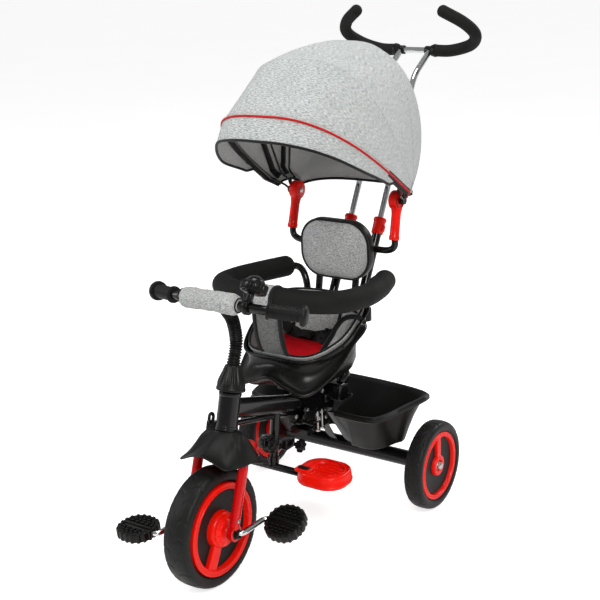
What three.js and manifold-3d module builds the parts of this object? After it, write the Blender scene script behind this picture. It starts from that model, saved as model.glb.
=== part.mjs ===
// Children's tricycle with a parent push handle, canopy, safety ring and storage tub.
// Millimetres. The tricycle faces -Y, the rider's left is +X and +Z is up.
// Inside the model group Y = 0 is the rear axle; the exported group is moved so that
// its origin is the bottom centre of its bounding box.
import * as THREE from 'three';
import { mergeVertices } from 'three/addons/utils/BufferGeometryUtils.js';
import Module from 'manifold-3d';

const wasm = await Module();
wasm.setup();

// ---------------------------------------------------------------- driving dimensions
const CLEAR = 0.3;                 // gap between parts that touch
const FRONT_R = 125;               // front wheel radius
const REAR_R = 101.5;              // rear wheel radius
const WHEELBASE = 518;             // front axle ahead of the rear axle
const REAR_TRACK = 458;            // between the middles of the rear wheels
const RAKE = 15.65 * Math.PI / 180; // steering axis leans back from vertical
const HEAD_LOW = new THREE.Vector3(0, -451, 312);  // bottom of the head tube
const HEAD_LENGTH = 78;
const HEAD_R = 23.5;
const STEERER_R = 14;
const FORK_HALF = 57;              // fork leg from the centre plane
const FORK_R = 10.5;
const CRANK_R = 6;
const CRANK_ARM = 76;
const CRANK_TILT = 4 * Math.PI / 180;
const PEDAL_X = 131;               // middle of a pedal from the centre plane
const BAR_Y = -450;                // handlebar middle
const BAR_Z = 586;
const GRIP_START = 108;            // where the bar bends back
const GRIP_END = new THREE.Vector3(188, -418, 573);
const BAR_R = 9.5;
const FOOT_Y = -298;               // footrest cross tube
const FOOT_Z = 167;
const FOOT_R = 8;
const PUSH_X = 39;                 // push rods from the centre plane
const PUSH_COLLAR = new THREE.Vector2(112, 629);   // y, z of the top of the red collar
const PUSH_KINK = new THREE.Vector2(279, 934);     // y, z where the rods bend back
const PUSH_TOP = new THREE.Vector2(358, 984);      // y, z of the crossbar
const PUSH_ROD_R = 7;
const PUSH_TUBE_R = 10.5;
const PIVOT = new THREE.Vector3(133, 27, 700);     // canopy hinge, left side
const CANOPY_THICK = 3;
const GUARD_PIVOT = new THREE.Vector3(78, -24, 440); // safety ring hinge, left side
const GUARD_R = 24;
const GUARD_TUBE_R = 8;
const MODEL_SHIFT_Y = 135.3;       // puts the bounding box middle on Y = 0

// ---------------------------------------------------------------- materials
const finish = (color, roughness, metalness) =>
  new THREE.MeshStandardMaterial({ color, roughness, metalness });
const COLOURS = {
  blackSteel: [0x141414, 0.35, 0.6], chrome: [0xc8ccd0, 0.15, 1], red: [0xd9160c, 0.35, 0],
  blackPlastic: [0x1c1c1a, 0.5, 0], rubber: [0x20201e, 0.8, 0], foam: [0x262624, 0.9, 0],
  greyFabric: [0x9a9c9b, 0.95, 0], redFabric: [0xb0141a, 0.9, 0], webbing: [0x181818, 0.9, 0],
};

// ---------------------------------------------------------------- geometry helpers
const vec = (x, y, z) => new THREE.Vector3(x, y, z);

function weld(geometry) {
  const flat = geometry.index ? geometry.toNonIndexed() : geometry.clone();
  flat.deleteAttribute('normal');
  flat.deleteAttribute('uv');
  const merged = mergeVertices(flat, 1e-4);
  return outward(merged);
}

function outward(geometry) {
  const p = geometry.attributes.position;
  const index = Array.from(geometry.index.array);
  const kept = [];
  let volume = 0;
  const [a, b, c] = [vec(0, 0, 0), vec(0, 0, 0), vec(0, 0, 0)];
  for (let i = 0; i < index.length; i += 3) {
    const [i0, i1, i2] = index.slice(i, i + 3);
    if (i0 === i1 || i1 === i2 || i2 === i0) continue;
    a.fromBufferAttribute(p, i0);
    b.fromBufferAttribute(p, i1);
    c.fromBufferAttribute(p, i2);
    volume += a.dot(b.cross(c));
    kept.push(i0, i1, i2);
  }
  if (volume < 0) kept.reverse();
  geometry.setIndex(kept);
  return geometry;
}

function toManifold(geometry) {
  const g = weld(geometry);
  const vertProperties = new Float32Array(g.attributes.position.array);
  const triVerts = new Uint32Array(g.index.array);
  return new wasm.Manifold(new wasm.Mesh({ numProp: 3, vertProperties, triVerts }));
}

function fromManifold(manifold) {
  const mesh = manifold.getMesh();
  const g = new THREE.BufferGeometry();
  g.setAttribute('position', new THREE.BufferAttribute(new Float32Array(mesh.vertProperties), 3));
  g.setIndex(Array.from(mesh.triVerts));
  return g;
}

function join(...geometries) {
  return fromManifold(geometries.map(toManifold).reduce((a, b) => a.add(b)));
}

function cut(geometry, ...tools) {
  return fromManifold(tools.map(toManifold).reduce((a, b) => a.subtract(b), toManifold(geometry)));
}

// A straight round bar between two points.
function rod(from, to, radius, sides = 14) {
  const g = new THREE.CylinderGeometry(radius, radius, from.distanceTo(to), sides);
  const turn = new THREE.Quaternion().setFromUnitVectors(vec(0, 1, 0), to.clone().sub(from).normalize());
  g.applyQuaternion(turn);
  const mid = from.clone().add(to).multiplyScalar(0.5);
  return g.translate(mid.x, mid.y, mid.z);
}

function box(width, depth, height, at) {
  return new THREE.BoxGeometry(width, depth, height).translate(at.x, at.y, at.z);
}

// A path of straight runs whose corners are rounded off at the given distance.
function bentPath(points, bend) {
  const path = new THREE.CurvePath();
  let start = points[0];
  for (let i = 1; i < points.length - 1; i += 1) {
    const corner = points[i];
    const before = corner.clone().lerp(points[i - 1], Math.min(0.48,
      bend / corner.distanceTo(points[i - 1])));
    const after = corner.clone().lerp(points[i + 1], Math.min(0.48, bend / corner.distanceTo(points[i + 1])));
    path.add(new THREE.LineCurve3(start, before));
    path.add(new THREE.QuadraticBezierCurve3(before, corner, after));
    start = after;
  }
  path.add(new THREE.LineCurve3(start, points[points.length - 1]));
  return path;
}

// Points along a bent path: the ends of each straight run and three on each bend.
function bentPoints(points, bend, perBend = 3) {
  const path = bentPath(points, bend);
  const out = [path.curves[0].getPoint(0)];
  for (const curve of path.curves) {
    const count = curve.isLineCurve3 ? 1 : perBend;
    for (let i = 1; i <= count; i += 1) out.push(curve.getPoint(i / count));
  }
  return out;
}

// A closed skin over a list of rings of points, capped by its two end rings.
function skin(rings) {
  const n = rings[0].length;
  const position = [];
  const index = [];
  rings.forEach((ring) => ring.forEach((p) => position.push(p.x, p.y, p.z)));
  for (let r = 0; r < rings.length - 1; r += 1) {
    for (let i = 0; i < n; i += 1) {
      const j = (i + 1) % n;
      const [a, b, c, d] = [r * n + i, r * n + j, (r + 1) * n + j, (r + 1) * n + i];
      index.push(a, b, c, a, c, d);
    }
  }
  [[0, true], [rings.length - 1, false]].forEach(([r, flip]) => {
    const centre = new THREE.Vector3();
    rings[r].forEach((p) => centre.addScaledVector(p, 1 / n));
    const at = position.length / 3;
    position.push(centre.x, centre.y, centre.z);
    for (let i = 0; i < n; i += 1) {
      const j = (i + 1) % n;
      if (flip) index.push(at, r * n + j, r * n + i);
      else index.push(at, r * n + i, r * n + j);
    }
  });
  const g = new THREE.BufferGeometry();
  g.setAttribute('position', new THREE.Float32BufferAttribute(position, 3));
  g.setIndex(index);
  return g;
}

// A round tube along points; the radius may change from point to point.
function tube(points, radius, sides = 12) {
  const at = (i) => (typeof radius === 'number' ? radius : radius[i]);
  const rings = points.map((p, i) => {
    const ahead = points[Math.min(i + 1, points.length - 1)];
    const behind = points[Math.max(i - 1, 0)];
    return { p, tangent: ahead.clone().sub(behind).normalize(), r: at(i) };
  });
  let side = Math.abs(rings[0].tangent.x) > 0.8 ? vec(0, 0, 1) : vec(1, 0, 0);
  return skin(rings.map(({ p, tangent, r }) => {
    side = side.clone().addScaledVector(tangent, -side.dot(tangent)).normalize();
    const up = tangent.clone().cross(side);
    return Array.from({ length: sides }, (_, k) => {
      const t = 2 * Math.PI * k / sides;
      return p.clone().addScaledVector(side, r * Math.cos(t)).addScaledVector(up, r * Math.sin(t));
    });
  }));
}

// Turned about the X axis from [x, radius] pairs that close on themselves.
function turned(profile, segments, at) {
  const points = profile.map(([x, r]) => new THREE.Vector2(r, x));
  points.push(points[0].clone());
  const g = new THREE.LatheGeometry(points, segments);
  g.rotateZ(-Math.PI / 2);
  return g.translate(at.x, at.y, at.z);
}

// Turned about a line through `base` leaning with the steering axis, from [height, radius] pairs.
function turnedOnSteering(profile, segments, base) {
  const points = profile.map(([h, r]) => new THREE.Vector2(r, h));
  points.push(points[0].clone());
  const g = new THREE.LatheGeometry(points, segments);
  g.rotateX(Math.PI / 2 - RAKE);
  return g.translate(base.x, base.y, base.z);
}

// A flat plate: outline in the XY plane, extruded up from z.
function plate(points, z, thickness) {
  const shape = new THREE.Shape(points);
  return new THREE.ExtrudeGeometry(shape, { depth: thickness, bevelEnabled: false }).translate(0, 0, z);
}

function closedCurve(points, count) {
  const curve = new THREE.CatmullRomCurve3(points, true, 'centripetal');
  return Array.from({ length: count }, (_, i) => curve.getPoint(i / count));
}

// Rounded rectangle outline as Vector2 points.
function roundedOutline(width, height, radius, perCorner = 3) {
  const out = [];
  const corners = [[1, 1, 0], [-1, 1, 1], [-1, -1, 2], [1, -1, 3]];
  corners.forEach(([sx, sy, quarter]) => {
    for (let i = 0; i <= perCorner; i += 1) {
      const t = (quarter + i / perCorner) * Math.PI / 2;
      out.push(new THREE.Vector2(
        sx * (width / 2 - radius) + radius * Math.cos(t),
        sy * (height / 2 - radius) + radius * Math.sin(t),
      ));
    }
  });
  return out;
}

const steeringUp = vec(0, Math.sin(RAKE), Math.cos(RAKE));
const onSteering = (s) => HEAD_LOW.clone().addScaledVector(steeringUp, s);

// ---------------------------------------------------------------- model tree
const model = new THREE.Group();
model.position.set(0, MODEL_SHIFT_Y, 0);
const used = new Map();

function add(name, geometry, colour, parent = model) {
  const key = colour;
  if (!used.has(key)) used.set(key, finish(...COLOURS[key]));
  const mesh = new THREE.Mesh(weld(geometry), used.get(key).clone());
  mesh.name = name;
  parent.add(mesh);
  return mesh;
}

// ---------------------------------------------------------------- front wheel
const FRONT_AXLE = vec(0, -WHEELBASE, FRONT_R);
const RIM_OUT = 97;
const RIM_IN = 84;

function tyre(radius, halfWidth, bead, segments, at) {
  const w = halfWidth;
  return turned([
    [-w + 4, bead], [-w, bead + 8], [-w + 1, radius - 7], [-w + 9, radius],
    [w - 9, radius], [w - 1, radius - 7], [w, bead + 8], [w - 4, bead],
  ], segments, at);
}

function wheelCore(outer, rimIn, hub, faceX, discX, hubX, bore, segments) {
  return turned([
    [-hubX, bore], [-hubX, hub], [-discX, hub], [-discX, rimIn], [-faceX, rimIn], [-faceX, outer],
    [faceX, outer], [faceX, rimIn], [discX, rimIn], [discX, hub], [hubX, hub], [hubX, bore],
  ], segments, vec(0, 0, 0));
}

function spoke(length, inner, width, halfDepth, angle) {
  const g = box(2 * halfDepth, width, length, vec(0, 0, inner + length / 2));
  return g.rotateX(angle);
}

function frontWheel() {
  add('front_tire', tyre(FRONT_R, 29, RIM_OUT + CLEAR, 36, FRONT_AXLE), 'rubber');
  const core = wheelCore(RIM_OUT, RIM_IN, 37, 31, 18, 34, CRANK_R + 0.5, 36);
  const arm = spoke(RIM_IN - 37 + 8, 33, 27, 28, Math.PI - 0.5);
  const bore = rod(vec(-60, 0, 0), vec(60, 0, 0), CRANK_R + 0.5, 16);
  const g = cut(join(core, arm), bore);
  add('front_wheel_core', g.translate(0, FRONT_AXLE.y, FRONT_AXLE.z), 'red');
  const x0 = 34 + CLEAR;
  add('freewheel_knob', turned([
    [x0, CRANK_R + 0.8], [x0, 34], [x0 + 4, 34], [x0 + 4, 24], [x0 + 7.5, 24], [x0 + 7.5, CRANK_R + 0.8],
  ], 24, FRONT_AXLE), 'red');
}

// Crank: a single bent bar that is the axle, both arms and both pedal spindles.
const armY = CRANK_ARM * Math.cos(CRANK_TILT);
const armZ = CRANK_ARM * Math.sin(CRANK_TILT);
const pedalAt = (side) => vec(side * PEDAL_X, FRONT_AXLE.y + side * armY, FRONT_AXLE.z + side * armZ);

function crank() {
  const corner = (side, x, reach) => vec(side * x, FRONT_AXLE.y + side * armY * reach,
    FRONT_AXLE.z + side * armZ * reach);
  const points = [
    corner(1, PEDAL_X + 41, 1), corner(1, 80, 1), corner(1, 74, 0),
    corner(-1, 74, 0), corner(-1, 80, 1), corner(-1, PEDAL_X + 41, 1),
  ];
  add('crank', tube(bentPoints(points, 8, 3), CRANK_R, 10), 'chrome');
  const bush = (side) => turned([
    [side * (FORK_HALF - 6.4), CRANK_R + 0.4], [side * (FORK_HALF - 6.4), 10.1], [side * (FORK_HALF + 7),
      10.1],
    [side * (FORK_HALF + 7), 14], [side * (FORK_HALF + 9), 14], [side * (FORK_HALF + 9), CRANK_R + 0.4],
  ], 16, FRONT_AXLE);
  add('crank_bush_left', bush(1), 'blackPlastic');
  add('crank_bush_right', bush(-1), 'blackPlastic');
}

const PEDAL_WIDTH = 84;
const PEDAL_DEPTH = 86;
function pedal(side, name, tilt) {
  const lobes = [];
  const COUNT = 20;
  for (let i = 0; i < COUNT; i += 1) {
    const t = 2 * Math.PI * (i + 0.5) / COUNT;
    const grow = i % 2 ? 1 : 0.93;
    const sq = (v) => Math.sign(v) * Math.abs(v) ** 0.75;
    lobes.push(new THREE.Vector2(sq(Math.cos(t)) * PEDAL_WIDTH / 2 * grow,
      sq(Math.sin(t)) * PEDAL_DEPTH / 2 * grow));
  }
  const body = plate(lobes, -9, 18);
  const ridge = box(PEDAL_WIDTH - 6, 20, 24, vec(0, 0, 0));
  const bore = rod(vec(-60, 0, 0), vec(60, 0, 0), CRANK_R + 0.8, 12);
  const g = cut(join(body, ridge), bore).rotateX(tilt);
  const at = pedalAt(side);
  add(name, g.translate(at.x, at.y, at.z), 'blackPlastic');
}

// ---------------------------------------------------------------- fork and steering
function fork() {
  const crownZ = 288;
  const crownY = -458;
  const legs = [1, -1].map((side) => {
    const points = bentPoints([
      vec(side * 6, crownY, crownZ), vec(side * 44, crownY - 4, crownZ - 4),
      vec(side * FORK_HALF, -473, 258), vec(side * FORK_HALF, -505, 170),
      vec(side * FORK_HALF, FRONT_AXLE.y, FRONT_AXLE.z + 6),
    ], 14, 2);
    const radii = points.map((p) => (p.z < FRONT_AXLE.z + 30 ? 5.6 : FORK_R));
    return tube(points, radii, 12);
  });
  const eyes = [1, -1].map((side) => rod(
    vec(side * (FORK_HALF - 6.5), FRONT_AXLE.y, FRONT_AXLE.z),
    vec(side * (FORK_HALF + 6.5), FRONT_AXLE.y, FRONT_AXLE.z), 17, 20));
  const holes = [1, -1].map((side) => rod(
    vec(side * (FORK_HALF - 20), FRONT_AXLE.y, FRONT_AXLE.z),
    vec(side * (FORK_HALF + 20), FRONT_AXLE.y, FRONT_AXLE.z), 10.5, 16));
  const steerer = rod(onSteering(-22), onSteering(96), STEERER_R - 2, 16);
  add('fork', cut(join(...legs, ...eyes, steerer), ...holes), 'red');
}

// Fender: a saddle over the front wheel with a collar under the head tube.
function fender() {
  const half = 71;
  const shape = (drop) => {
    const ring = [];
    const count = 28;
    for (let i = 0; i < count; i += 1) {
      const t = 2 * Math.PI * i / count;
      const x = half * Math.sin(t);
      const y = -470 - 70 * Math.cos(t);
      const sag = 0.0038 * x * x + (y > -500 ? 0.0042 : 0.0022) * (y + 500) ** 2;
      ring.push(vec(x, y, 290 - sag - drop));
    }
    return ring;
  };
  const narrow = (radius, height) => Array.from({ length: 28 }, (_, i) => {
    const t = 2 * Math.PI * i / 28;
    return onSteering(height).add(vec(radius * Math.sin(t), -radius * Math.cos(t),
      radius * Math.cos(t) * 0.28));
  });
  const mid = (radius, height, lift) => shape(0).map((p, i) => p.clone().lerp(narrow(radius, height)[i],
    lift));
  const solid = skin([shape(3), shape(0), mid(27, -14, 0.55), narrow(25, -3), narrow(18, -3), mid(20,
    -19, 0.55).map((p) => p.add(vec(0, 0, -3)))]);
  const legSlots = [1, -1].map((side) => tube([
    vec(side * FORK_HALF, -462, 286), vec(side * FORK_HALF, -476, 250), vec(side * FORK_HALF, -500,
      185)], FORK_R + 2.5, 10));
  const crown = box(2 * FORK_HALF + 2 * FORK_R + 4, 36, 40, vec(0, -462, 280));
  add('front_fender', cut(solid, ...legSlots, crown), 'blackPlastic');
}

function steeringColumn() {
  const coneLow = HEAD_LENGTH + 3;
  add('steering_cone', turnedOnSteering([
    [coneLow, 26.5], [coneLow, 30], [coneLow + 12, 29], [coneLow + 44, 20], [coneLow + 52, 15.5],
    [coneLow + 52, STEERER_R + CLEAR], [coneLow + 40, STEERER_R + CLEAR], [coneLow + 10, 26.5],
  ], 24, HEAD_LOW), 'blackPlastic');
  const boot = [onSteering(coneLow + 53), vec(0, -401, 487), vec(0, -408, 532), vec(0, -425, 562)];
  const curve = new THREE.CatmullRomCurve3(boot);
  add('steering_boot', tube(curve.getPoints(10), 13.5, 14), 'rubber');
}

// Handlebar: the cross bar with swept ends; the column tube stands in the fork steerer.
function handlebar() {
  const bend = [1, -1].map((side) => {
    const end = vec(side * (GRIP_END.x - 3), GRIP_END.y, GRIP_END.z);
    return [end, vec(side * GRIP_START, BAR_Y, BAR_Z - 3)];
  });
  const route = [bend[0][0], bend[0][1], vec(0, BAR_Y - 3, BAR_Z), bend[1][1], bend[1][0]];
  const bar = tube(bentPoints(route, 14, 3), BAR_R, 12);
  const hollow = tube([bend[0][0].clone().add(vec(4, 0, 0)), bend[0][0].clone().lerp(bend[0][1], 0.3)],
    BAR_R - 2, 10);
  add('handlebar', cut(bar, hollow), 'blackSteel');
  [['grip_left', 1], ['grip_right', -1]].forEach(([name, side], i) => {
    const [end, start] = bend[i];
    const along = end.clone().sub(start).normalize();
    const p = (d) => start.clone().addScaledVector(along, d);
    const length = end.distanceTo(start);
    const steps = [[8, 17], [12, 17], [12.5, 13.5], [length - 9, 13.5], [length - 8, 20], [length - 2,
      20.5], [length + 4, 14], [length + 5, 5]];
    const outer = tube(steps.map(([d]) => p(d)), steps.map(([, r]) => r), 14);
    add(name, cut(outer, tube([p(-5), p(length + CLEAR)], BAR_R + 0.7, 12)), 'rubber');
  });
  const padX = [-90, -86, 50, 54];
  const pad = tube(padX.map((x) => vec(x, BAR_Y - 3, BAR_Z)), [14, 20, 20, 14], 16);
  const hole = tube([vec(-100, BAR_Y, BAR_Z - 2.6), vec(0, BAR_Y - 3, BAR_Z), vec(100, BAR_Y,
    BAR_Z - 2.6)], BAR_R + 1.2, 12);
  const stem = tube(curveBelowBar(), 14.5, 12);
  add('bar_pad', cut(pad, hole, stem), 'greyFabric');
}

const curveBelowBar = () => [vec(0, -418, 556), vec(0, -440, 575), vec(0, -452, BAR_Z)];

// ---------------------------------------------------------------- bell
const BELL_X = 72;
const BELL_LEAN = 35 * Math.PI / 180;
const BELL_AT = vec(BELL_X + 6, BAR_Y + 18, BAR_Z + 38);
function bell() {
  const onBell = (profile, segments) => {
    const points = profile.map(([h, r]) => new THREE.Vector2(r, h));
    points.push(points[0].clone());
    return new THREE.LatheGeometry(points, segments).rotateX(Math.PI / 2 - BELL_LEAN)
      .translate(BELL_AT.x, BELL_AT.y, BELL_AT.z);
  };
  const clampRing = turned([[-8, BAR_R + CLEAR], [-8, 15], [8, 15], [8, BAR_R + CLEAR]], 18, vec(BELL_X,
    BAR_Y - 2, BAR_Z - 1.5));
  const barTool = tube([vec(BELL_X - 20, BAR_Y - 1.2, BAR_Z - 2), vec(BELL_X + 20, BAR_Y - 0.4,
    BAR_Z - 3)], BAR_R + 0.5, 16);
  const post = rod(vec(BELL_X, BAR_Y + 5, BAR_Z + 10), BELL_AT.clone().add(vec(0, -4, -9)), 7, 12);
  const foot = onBell([[-9, 0], [-9, 21], [-4, 21], [-4, 0]], 20);
  add('bell_base', cut(join(clampRing, post, foot), barTool), 'blackPlastic');
  const dome = [[0.3, 0], [0.3, 21]];
  for (let i = 1; i <= 5; i += 1) {
    const t = i / 5 * Math.PI / 2;
    dome.push([2 + 16 * Math.sin(t), 21 * Math.cos(t)]);
  }
  dome[dome.length - 1][1] = 0;
  add('bell_dome', onBell(dome, 24), 'blackPlastic');
  add('bell_ring', onBell([[-3.6, 22], [-3.6, 26.5], [4, 26.5], [4, 22]], 24), 'blackPlastic');
}

// ---------------------------------------------------------------- frame
const MAIN_FRONT = vec(0, -432, 352);
const MAIN_REAR = vec(0, -70, 236);
function ovalBeam(from, to, halfWidth, halfHeight, sides = 16) {
  const along = to.clone().sub(from).normalize();
  const up = vec(1, 0, 0).cross(along).normalize();
  const ring = (p) => Array.from({ length: sides }, (_, k) => {
    const t = 2 * Math.PI * k / sides;
    return p.clone().add(vec(halfWidth * Math.cos(t), 0, 0)).addScaledVector(up, halfHeight * Math.sin(t));
  });
  return skin([ring(from), ring(to)]);
}

function mainFrame() {
  const head = turnedOnSteering([[0, 17.5], [0, HEAD_R], [HEAD_LENGTH, HEAD_R], [HEAD_LENGTH, 17.5]], 24,
    HEAD_LOW);
  const headBore = rod(onSteering(-10), onSteering(HEAD_LENGTH + 10), 17.5, 24);
  const main = ovalBeam(MAIN_FRONT, MAIN_REAR, 14, 21);
  const lower = rod(vec(0, -440, 320), vec(0, -160, 247), 6, 10);
  const post = rod(vec(0, -276, 300), vec(0, FOOT_Y, FOOT_Z), 10.5, 14);
  const cross = rod(vec(-FOOT_REACH, FOOT_Y, FOOT_Z), vec(FOOT_REACH, FOOT_Y, FOOT_Z), FOOT_R, 14);
  add('main_frame', cut(join(main, lower, post, cross, head), headBore), 'blackSteel');
}
const FOOT_REACH = 152;

function headBush() {
  const inner = STEERER_R - 1.6;
  add('head_bush', turnedOnSteering([
    [2, inner], [2, 17.2], [HEAD_LENGTH - 2, 17.2], [HEAD_LENGTH - 2, inner]], 24, HEAD_LOW), 'blackPlastic');
}

const BEAM_END = 196;
function rearFrame() {
  const beam = tube([vec(-BEAM_END, 0, REAR_R), vec(BEAM_END, 0, REAR_R)], 18, 18);
  const bore = rod(vec(-220, 0, REAR_R), vec(220, 0, REAR_R), 8, 14);
  const brace = [1, -1].map((side) => {
    const path = [vec(side * 19, -92, 222), vec(side * 22, -64, 180), vec(side * 24, -26, 126),
      vec(side * 24, -6, 104)];
    return flatBar(path, 4, 22);
  });
  add('rear_frame', cut(join(beam, ...brace), bore), 'blackSteel');
  const axle = rod(vec(-252, 0, REAR_R), vec(252, 0, REAR_R), 5, 12);
  const caps = [1, -1].map((side) => rod(vec(side * 248.6, 0, REAR_R), vec(side * 254, 0, REAR_R), 9, 16));
  add('rear_axle', join(axle, ...caps), 'chrome');
}

// A flat bar along a path in a Y-Z plane: thin across X, wide across the path.
function flatBar(path, thickness, width) {
  const rings = path.map((p, i) => {
    const ahead = path[Math.min(i + 1, path.length - 1)];
    const behind = path[Math.max(i - 1, 0)];
    const across = ahead.clone().sub(behind).normalize().cross(vec(1, 0, 0));
    const corner = (sx, sw) => p.clone().add(vec(sx * thickness / 2, 0, 0)).addScaledVector(across,
      sw * width / 2);
    return [corner(1, 1), corner(-1, 1), corner(-1, -1), corner(1, -1)];
  });
  return skin(rings);
}

// ---------------------------------------------------------------- rear wheels
function rearWheels() {
  [['left', 1], ['right', -1]].forEach(([name, side]) => {
    const at = vec(side * REAR_TRACK / 2, 0, REAR_R);
    add(`rear_tire_${name}`, tyre(REAR_R, 21, 78 + CLEAR, 32, at), 'rubber');
    const core = wheelCore(78, 67, 23, 19, 11, 18.5, 5.5, 32);
    const g = cut(join(core, spoke(67 - 23 + 8, 19, 17, 16, 0)), rod(vec(-60, 0, 0), vec(60, 0, 0), 5.5, 12));
    add(`rear_wheel_core_${name}`, g.translate(at.x, at.y, at.z), 'red');
  });
}

// ---------------------------------------------------------------- footrests
const PAD_LOW = 156;              // underside of the footrest pads
function footrests() {
  [['left', 1], ['right', -1]].forEach(([name, side]) => {
    const middle = vec(side * 122, -281, 0);
    const outline = roundedOutline(116, 98, 42, 4).map((p) => new THREE.Vector2(p.x + middle.x,
      p.y + middle.y));
    const body = plate(outline, PAD_LOW, 28);
    const well = roundedOutline(84, 66, 28, 4).map((p) => new THREE.Vector2(p.x + middle.x + side * 6,
      p.y + middle.y + 6));
    const hollow = plate(well, PAD_LOW + 20, 20);
    const ridges = [-14, 2, 18].map((dy) => plate(roundedOutline(50, 7, 3, 2)
      .map((p) => new THREE.Vector2(p.x + middle.x + side * 10, p.y + middle.y + dy)), PAD_LOW + 19, 5));
    const bore = rod(vec(side * 40, FOOT_Y, FOOT_Z), vec(side * (FOOT_REACH + 1), FOOT_Y, FOOT_Z),
      FOOT_R + CLEAR, 16);
    const slot = box(27, 13, 14, vec(side * 88, -308, PAD_LOW + 26.5));
    add(`footrest_${name}`, cut(join(cut(body, hollow), ...ridges), bore, slot), 'red');
    add(`footrest_latch_${name}`, box(25.6, 11.6, 6, vec(side * 88, -308, PAD_LOW + 26.2)), 'blackPlastic');
  });
}

// ---------------------------------------------------------------- seat bracket and fasteners
function seatBracket() {
  const channel = join(
    box(44, 86, 14, vec(0, -152, 208)), box(5, 60, 60, vec(17.5, -150, 232)), box(5, 60, 60, vec(-17.5,
      -150, 232)));
  const beam = ovalBeam(MAIN_FRONT, MAIN_REAR, 14.4, 21.4);
  const lower = rod(vec(0, -440, 320), vec(0, -155, 246), 6.4, 12);
  const post = join(box(70, 110, 8, vec(0, -165, 318)), box(6, 70, 60, vec(18.2, -160, 290)), box(6, 70,
    60, vec(-18.2, -160, 290)));
  add('seat_bracket', cut(join(channel, post), beam, lower, box(120, 110, 12, vec(0, -165, 331))),
    'blackSteel');
}

function starKnob(name, at) {
  const outline = Array.from({ length: 24 }, (_, i) => {
    const t = 2 * Math.PI * i / 24;
    const r = 13 + 2.4 * Math.cos(6 * t);
    return new THREE.Vector2(r * Math.cos(t), r * Math.sin(t));
  });
  const knob = plate(outline, 0, 14);
  const shank = rod(vec(0, 0, -9), vec(0, 0, 1), 4.5, 10);
  add(name, join(knob, shank).rotateY(Math.PI / 2).translate(at.x, at.y, at.z), 'blackPlastic');
}

// ---------------------------------------------------------------- storage tub
const TUB_RIM_Z = 252;
const TUB_FLOOR_Z = 140;
function tubOutline(scaleX, front, back, z, notch) {
  const right = [
    vec(30, front + notch, z), vec(48, front + notch - 6, z), vec(60, front + 10, z), vec(74, front, z),
    vec(150 * scaleX, front, z), vec(178 * scaleX, front + 22, z), vec(194 * scaleX, (front + back) / 2, z),
    vec(204 * scaleX, back - 40, z), vec(188 * scaleX, back - 14, z), vec(104 * scaleX, back, z),
  ];
  const left = right.slice().reverse().map((p) => vec(-p.x, p.y, p.z));
  return closedCurve([...right, vec(0, back + 4, z), ...left], 44);
}
function storageTub() {
  const rings = [
    tubOutline(0.7, -74, 32, TUB_FLOOR_Z, 82), tubOutline(0.76, -80, 36, TUB_FLOOR_Z + 3, 88),
    tubOutline(0.92, -138, 60, TUB_RIM_Z - 10, 96), tubOutline(0.99, -148, 69, TUB_RIM_Z - 10, 100),
    tubOutline(0.99, -148, 69, TUB_RIM_Z, 100), tubOutline(0.92, -137, 59, TUB_RIM_Z, 101),
    tubOutline(0.74, -77, 33, TUB_FLOOR_Z + 7, 92), tubOutline(0.68, -71, 29, TUB_FLOOR_Z + 4, 86),
  ];
  add('storage_tub', skin(rings), 'blackPlastic');
}

// ---------------------------------------------------------------- seat
// Half outlines run from the middle of the front round the rider's left to the middle of the back.
const SEAT_RINGS = {
  pan: [[0, -190, 332], [60, -190, 334], [88, -150, 342], [80, -90, 352], [0, -70, 356]],
  belly: [[0, -276, 346], [78, -272, 336], [110, -190, 368], [104, -92, 398], [0, -58, 404]],
  ridge: [[0, -304, 372], [52, -302, 356], [92, -288, 344], [126, -222, 376], [134, -150, 418], [120,
    -84, 446], [0, -48, 450]],
  rim: [[0, -284, 414], [80, -268, 412], [120, -200, 430], [126, -130, 460], [108, -66, 486], [0, -42, 490]],
  inner: [[0, -278, 412], [77, -262, 410], [116, -197, 429], [122, -130, 458], [104, -72, 484], [0, -48,
    488]],
  well: [[0, -262, 396], [72, -246, 392], [102, -186, 396], [102, -120, 408], [90, -78, 420], [0, -60, 424]],
  floor: [[0, -220, 384], [50, -210, 384], [74, -170, 386], [66, -110, 392], [0, -84, 396]],
};
function seatRing(name, count = 32) {
  const left = SEAT_RINGS[name].map(([x, y, z]) => vec(x, y, z));
  const right = left.slice(1, -1).reverse().map((p) => vec(-p.x, p.y, p.z));
  const curve = new THREE.CatmullRomCurve3([...left, ...right], true, 'centripetal');
  const points = curve.getSpacedPoints(count);
  return points.slice(0, count);
}
const lifted = (ring, dz, grow = 1) => ring.map((p) => vec(p.x * grow, -170 + (p.y + 170) * grow, p.z + dz));

function seat() {
  add('seat_shell', skin(['pan', 'belly', 'ridge', 'rim', 'inner', 'well',
    'floor'].map((n) => seatRing(n))), 'blackPlastic');
  const liner = skin([
    lifted(seatRing('floor'), 0.8), lifted(seatRing('well'), 1, 0.985), lifted(seatRing('inner'), 6, 0.975),
    lifted(seatRing('inner'), 8, 0.93), lifted(seatRing('well'), 6, 0.9), lifted(seatRing('floor'), 5, 0.9),
  ]);
  add('seat_liner', liner, 'greyFabric');
  const pad = skin([
    lifted(seatRing('floor'), 6.2, 0.86), lifted(seatRing('floor'), 12, 0.92), lifted(seatRing('floor'),
      20, 0.84),
  ]);
  add('seat_cushion', pad, 'redFabric');
}

function backTubes() {
  const tubes = [1, -1].map((side) => tube([
    vec(side * 48, -27, 418), vec(side * 48, -24, 480), vec(side * 48, -14, 514.6)], 8, 10));
  add('backrest_tubes', join(...tubes, tube([vec(-52, -26.5, 430), vec(52, -26.5, 430)], 6, 8)),
    'blackSteel');
}

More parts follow.
